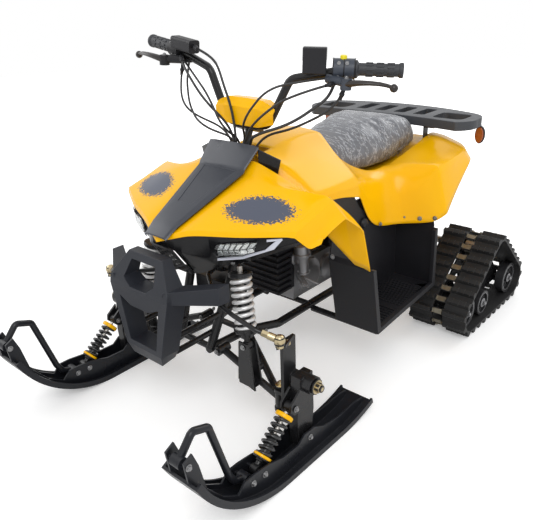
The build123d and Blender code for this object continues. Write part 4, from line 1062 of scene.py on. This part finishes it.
boltSets = {
    # body, finish, then place, direction, radius and height of each bolt, in millimetres
    "bodyBolts": ("vehicle", "bolt", [
        ((side * x, y, z), (side * dx, dy, 0), 5, 5) for side in (1, -1)
        for x, y, z, dx, dy in (
            (227, 112, 428, 1, 0), (216, 206, 420, 0.8, -0.6), (258, 205, 431, 0.3, -1),
            (304, 219, 431, 0.3, -1), (347, 235, 436, 0.1, -1), (222, -131, 401, 0, -1),
            (318, -131, 402, 0, -1), (88, -480, 205, 0, -1), (88, -372, 205, 0, -1),
            (206, -496, 272, 0, -1), (160, -467, 486, 0, -1), (108, -300, 196, 1, 0),
            (108, 96, 196, 1, 0))]),
}
for sideName, side in sides:
    ski, body = side * 358, "ski_" + sideName
    boltSets["skiBolts." + sideName] = (body, "bolt", [
        ((ski + out * reach, y, z), (out, 0, 0), 5.6, 6)
        for y, z, reach in ((-849, 236, 30), (-668, 62, 30), (-628, 60, 30), (-454, 57, 30),
                            (-497, 164, 20))
        for out in (1, -1)])
    boltSets["stubNut." + sideName] = (body, "zinc", [
        ((side * 402, -446, 212), (side, 0, 0), 12.5, 14),
        ((side * 333, -462, 178), (side, 0, 0), 7, 9),
        ((side * 331, -470, 322), (side, 0, 0), 6, 8),
        ((side * 300, -462, 182), (0, 0, 1), 9, 9)])
for name, (body, finish, bolts) in boltSets.items():
    shape = bmesh.new()
    for place, direction, radius, height in bolts:
        addBolt(shape, at(*place), direction, radius / 1000.0, height / 1000.0)
    newPiece(name, shape, finish, body, bevel=(0.0004, 1, 40.0))

# ball joints at the outer ends of the tie rods
ballShape = {"end": (334, -500, 344), "rod": (280, -525, 364), "radius": 0.0145}
for sideName, side in sides:
    end, rod = (at(side * x, y, z) for x, y, z in (ballShape["end"], ballShape["rod"]))
    inward = (rod - end).normalized()
    down = Vector((0, 0, -1))
    shape = bmesh.new()
    bmesh.ops.create_uvsphere(shape, u_segments=24, v_segments=14, radius=ballShape["radius"],
                              matrix=Matrix.Translation(end))
    addRod(shape, end + inward * 0.012, end + inward * 0.03, 0.0095)
    addRod(shape, end + inward * 0.03, end + inward * 0.046, 0.0088, segments=6)
    addRod(shape, end + down * 0.012, end + down * 0.019, 0.0105)
    newPiece("ballJoint." + sideName, shape, "zinc", "tie_rod_" + sideName)
print("bolts")


trackShape = {
    # wheels as (y, radius) and the drive wheel as (y, z, radius)
    "wheels": ((360.0, 55.0), (487.0, 45.0), (712.0, 58.0)), "lift": 19.0,
    "sprocket": (548.0, 236.0, 46.0), "belt": 6.0, "lugs": 28, "x": 352.0,
    # steel clip between the lugs: middle and size of each block
    "clip": [((0, 0, 1.2), (27, 17, 2.4)), ((-15, 0, 3.0), (4, 15, 7)),
             ((15, 0, 3.0), (4, 15, 7))],
    "ribs": [(x + step, 0, 12.2) for x in (-66, 66) for step in (-22, 0, 22)],
    "rib": (2.5, 21, 2.8),
    "hub": [(0.0, 0.0), (0.0, 0.0165), (0.004, 0.0165), (0.0055, 0.013), (0.0055, 0.0)],
    "hubSide": 81, "rim": 0.80,
    "rimSteps": [(0.0, 0.0), (0.0, 0.0018), (0.0042, 0.0012), (0.0042, -0.0006), (0.0, 0.0)],
}


# Evenly spaced places on the belt line, each with the angle of its outward side.
# The line is made of arcs round the two end wheels and the drive wheel, and of the
# straight runs between them.
def beltStations(settings):
    (frontY, frontR), (rearY, rearR) = settings["wheels"][::2]
    driveY, driveZ, driveR = settings["sprocket"]
    lift = settings["lift"]
    wheels = [Vector((frontY, frontR + lift)), Vector((rearY, rearR + lift)),
              Vector((driveY, driveZ))]
    radii = [radius + settings["belt"] for radius in (frontR, rearR, driveR)]
    normals = []
    for i in range(3):
        span = wheels[(i + 1) % 3] - wheels[i]
        drop = math.acos((radii[i] - radii[(i + 1) % 3]) / span.length)
        normals.append(math.atan2(span.y, span.x) - drop)
    stretches = []
    for i in range(3):
        following = (i + 1) % 3
        turn = (normals[i] - normals[i - 1]) % math.tau
        stretches.append(("arc", i, normals[i - 1], turn * radii[i]))
        outward = Vector((math.cos(normals[i]), math.sin(normals[i])))
        start = wheels[i] + outward * radii[i]
        run = wheels[following] + outward * radii[following] - start
        stretches.append(("run", start, run, normals[i], run.length))
    total = sum(stretch[-1] for stretch in stretches)
    stations = []
    for k in range(settings["lugs"]):
        left = total * k / settings["lugs"]
        for stretch in stretches:
            if left <= stretch[-1]:
                break
            left -= stretch[-1]
        if stretch[0] == "arc":
            i, first = stretch[1:3]
            angle = first + left / radii[i]
            spot = wheels[i] + Vector((math.cos(angle), math.sin(angle))) * radii[i]
        else:
            start, run, angle, length = stretch[1:]
            spot = start + run * (left / length)
        stations.append((spot, angle))
    return stations


def addSmallBox(shape, place, middle, size):
    addBox(shape, place @ Matrix.Translation([v / 1000.0 for v in middle]),
           [v / 1000.0 for v in size])


for sideName, side in sides:
    clips = bmesh.new()
    ribs = bmesh.new()
    for spot, angle in beltStations(trackShape):
        place = (Matrix.Translation(at(side * trackShape["x"], spot.x, spot.y))
                 @ Matrix.Rotation(angle - math.pi / 2, 4, "X"))
        for middle, size in trackShape["clip"]:
            addSmallBox(clips, place, middle, size)
        for middle in trackShape["ribs"]:
            addSmallBox(ribs, place, middle, trackShape["rib"])
    newPiece("trackClips." + sideName, clips, "clip", bevel=(0.0006, 1, 40.0))
    newPiece("lugRibs." + sideName, ribs, "rubber")
    hubs = bmesh.new()
    for y, radius in trackShape["wheels"]:
        z = trackShape["lift"] + radius
        rim = radius / 1000.0 * trackShape["rim"]
        for out in (1, -1):
            x = side * trackShape["x"] + out * trackShape["hubSide"]
            inner, outer = at(x - out * 4, y, z), at(x + out * 8, y, z)
            addTurned(hubs, inner, outer, trackShape["hub"])
            addBolt(hubs, at(x + out * 1.2, y, z), (out, 0, 0), 0.0078, 0.008)
            addTurned(hubs, inner, outer,
                      [(step, rim + more) for step, more in trackShape["rimSteps"]], 40)
    newPiece("wheelHubs." + sideName, hubs, "alloy")
print("tracks")


reflectorShape = {
    # half width, half height, and front and rear y
    "lens": (14.5, 27, 583, 591), "rim": (17, 30, 587, 598), "x": 314, "z": 626,
    "stem": ((312, 593, 650), (310, 594, 662)), "stemRadius": 0.005,
}
lenses = bmesh.new()
rims = bmesh.new()
for sideName, side in sides:
    for shape, part in ((lenses, "lens"), (rims, "rim")):
        half, high, y0, y1 = reflectorShape[part]
        middle = at(side * reflectorShape["x"], (y0 + y1) / 2, reflectorShape["z"])
        bmesh.ops.create_cone(
            shape, cap_ends=True, segments=40, radius1=0.001, radius2=0.001,
            depth=(y1 - y0) / 1000.0,
            matrix=Matrix.Translation(middle) @ Matrix.Diagonal((half, 1, high, 1))
            @ Matrix.Rotation(math.pi / 2, 4, "X"))
    foot, top = (at(side * x, y, z) for x, y, z in reflectorShape["stem"])
    addRod(rims, foot, top, reflectorShape["stemRadius"], segments=16)
newPiece("reflectors", lenses, "amber", replaced=("tail_lights",), bevel=(0.002, 2, 40.0))
newPiece("reflectorRims", rims, "black", bevel=(0.0015, 2, 40.0))
print("reflectors")


cameraSettings = {
    # angles in degrees; lens is the focal length as a share of the sensor's width
    "place": (1.154, -1.443 + shiftY, 1.100), "azimuth": 42.1, "elevation": 23.7,
    "roll": -2.1, "lens": 614.0 / 533.0, "sensor": 36.0,
}


def addCamera(settings):
    azimuth, elevation, roll = (math.radians(settings[name])
                                for name in ("azimuth", "elevation", "roll"))
    ahead = Vector((-math.sin(azimuth) * math.cos(elevation),
                    math.cos(azimuth) * math.cos(elevation), -math.sin(elevation)))
    right = ahead.cross(Vector((0, 0, 1))).normalized()
    up = right.cross(ahead)
    tiltedRight = right * math.cos(roll) + up * math.sin(roll)
    tiltedUp = up * math.cos(roll) - right * math.sin(roll)
    turn = Matrix((tiltedRight, tiltedUp, -ahead)).transposed()
    data = bpy.data.cameras.new("camera")
    data.lens = settings["lens"] * settings["sensor"]
    data.sensor_width = settings["sensor"]
    camera = addObject("camera", data)
    camera.matrix_world = Matrix.Translation(settings["place"]) @ turn.to_4x4()
    bpy.context.scene.camera = camera


addCamera(cameraSettings)

lightSettings = {
    "world": 0.75,
    # name: place, aim, size, watts
    "lamps": {
        "keyLamp": ((2.2, -2.6, 3.4), (0, 0, 0.4), 2.4, 70.0),
        "fillLamp": ((-3.2, -1.2, 2.4), (0, 0, 0.4), 2.6, 32.0),
        "backLamp": ((0.6, 3.2, 3.0), (0, 0, 0.4), 2.4, 38.0),
    },
}


def addLamps(settings):
    for name, (place, aim, size, power) in settings["lamps"].items():
        data = bpy.data.lights.new(name, "AREA")
        data.shape = "DISK"
        data.size = size
        data.energy = power
        lamp = addObject(name, data)
        heading = Vector(aim) - Vector(place)
        lamp.matrix_world = (Matrix.Translation(place)
                             @ heading.to_track_quat("-Z", "Y").to_matrix().to_4x4())
    # brighter to the camera, and in reflections, than as a light
    world = bpy.data.worlds.new("studio")
    world.use_nodes = True
    tree = world.node_tree
    path = addNode(tree, "ShaderNodeLightPath").outputs
    direct = addMath(tree, "MAXIMUM", path["Is Camera Ray"], path["Is Transmission Ray"])
    seen = addMath(tree, "MAXIMUM", direct, path["Is Glossy Ray"])
    fill(tree.nodes["Background"], Color=(1, 1, 1, 1),
         Strength=addRange(tree, seen, To_Min=settings["world"], To_Max=1.0))
    bpy.context.scene.world = world


floorSettings = {
    # metres; the floor glows towards the camera, most where it is far away
    "radius": 9.0, "tone": 0.9, "glowFrom": 0.9, "glowTo": 3.2, "glow": (0.25, 1.0),
}


def addFloor(settings):
    shape = bmesh.new()
    bmesh.ops.create_circle(shape, cap_ends=True, radius=settings["radius"], segments=64)
    mesh = takeMesh("floor", shape)
    floor = addObject("floor", mesh)
    material, tree, shader = newMaterial("floorPaper")
    far = addVectorMath(tree, "LENGTH", objectCoords(tree))
    near, bright = settings["glow"]
    fade = addRange(tree, far, From_Min=settings["glowFrom"],
                    From_Max=settings["glowTo"], To_Min=near, To_Max=bright)
    path = addNode(tree, "ShaderNodeLightPath").outputs
    glow = addMath(tree, "MULTIPLY", path["Is Camera Ray"], fade)
    tone = settings["tone"]
    fill(shader, Base_Color=(tone, tone, tone, 1), Roughness=0.9, Specular_IOR_Level=0.0,
         Emission_Color=(1, 1, 1, 1), Emission_Strength=glow)
    mesh.materials.append(material)


addLamps(lightSettings)
addFloor(floorSettings)
bpy.context.scene.view_settings.view_transform = "Standard"
print("camera, lamps and floor")
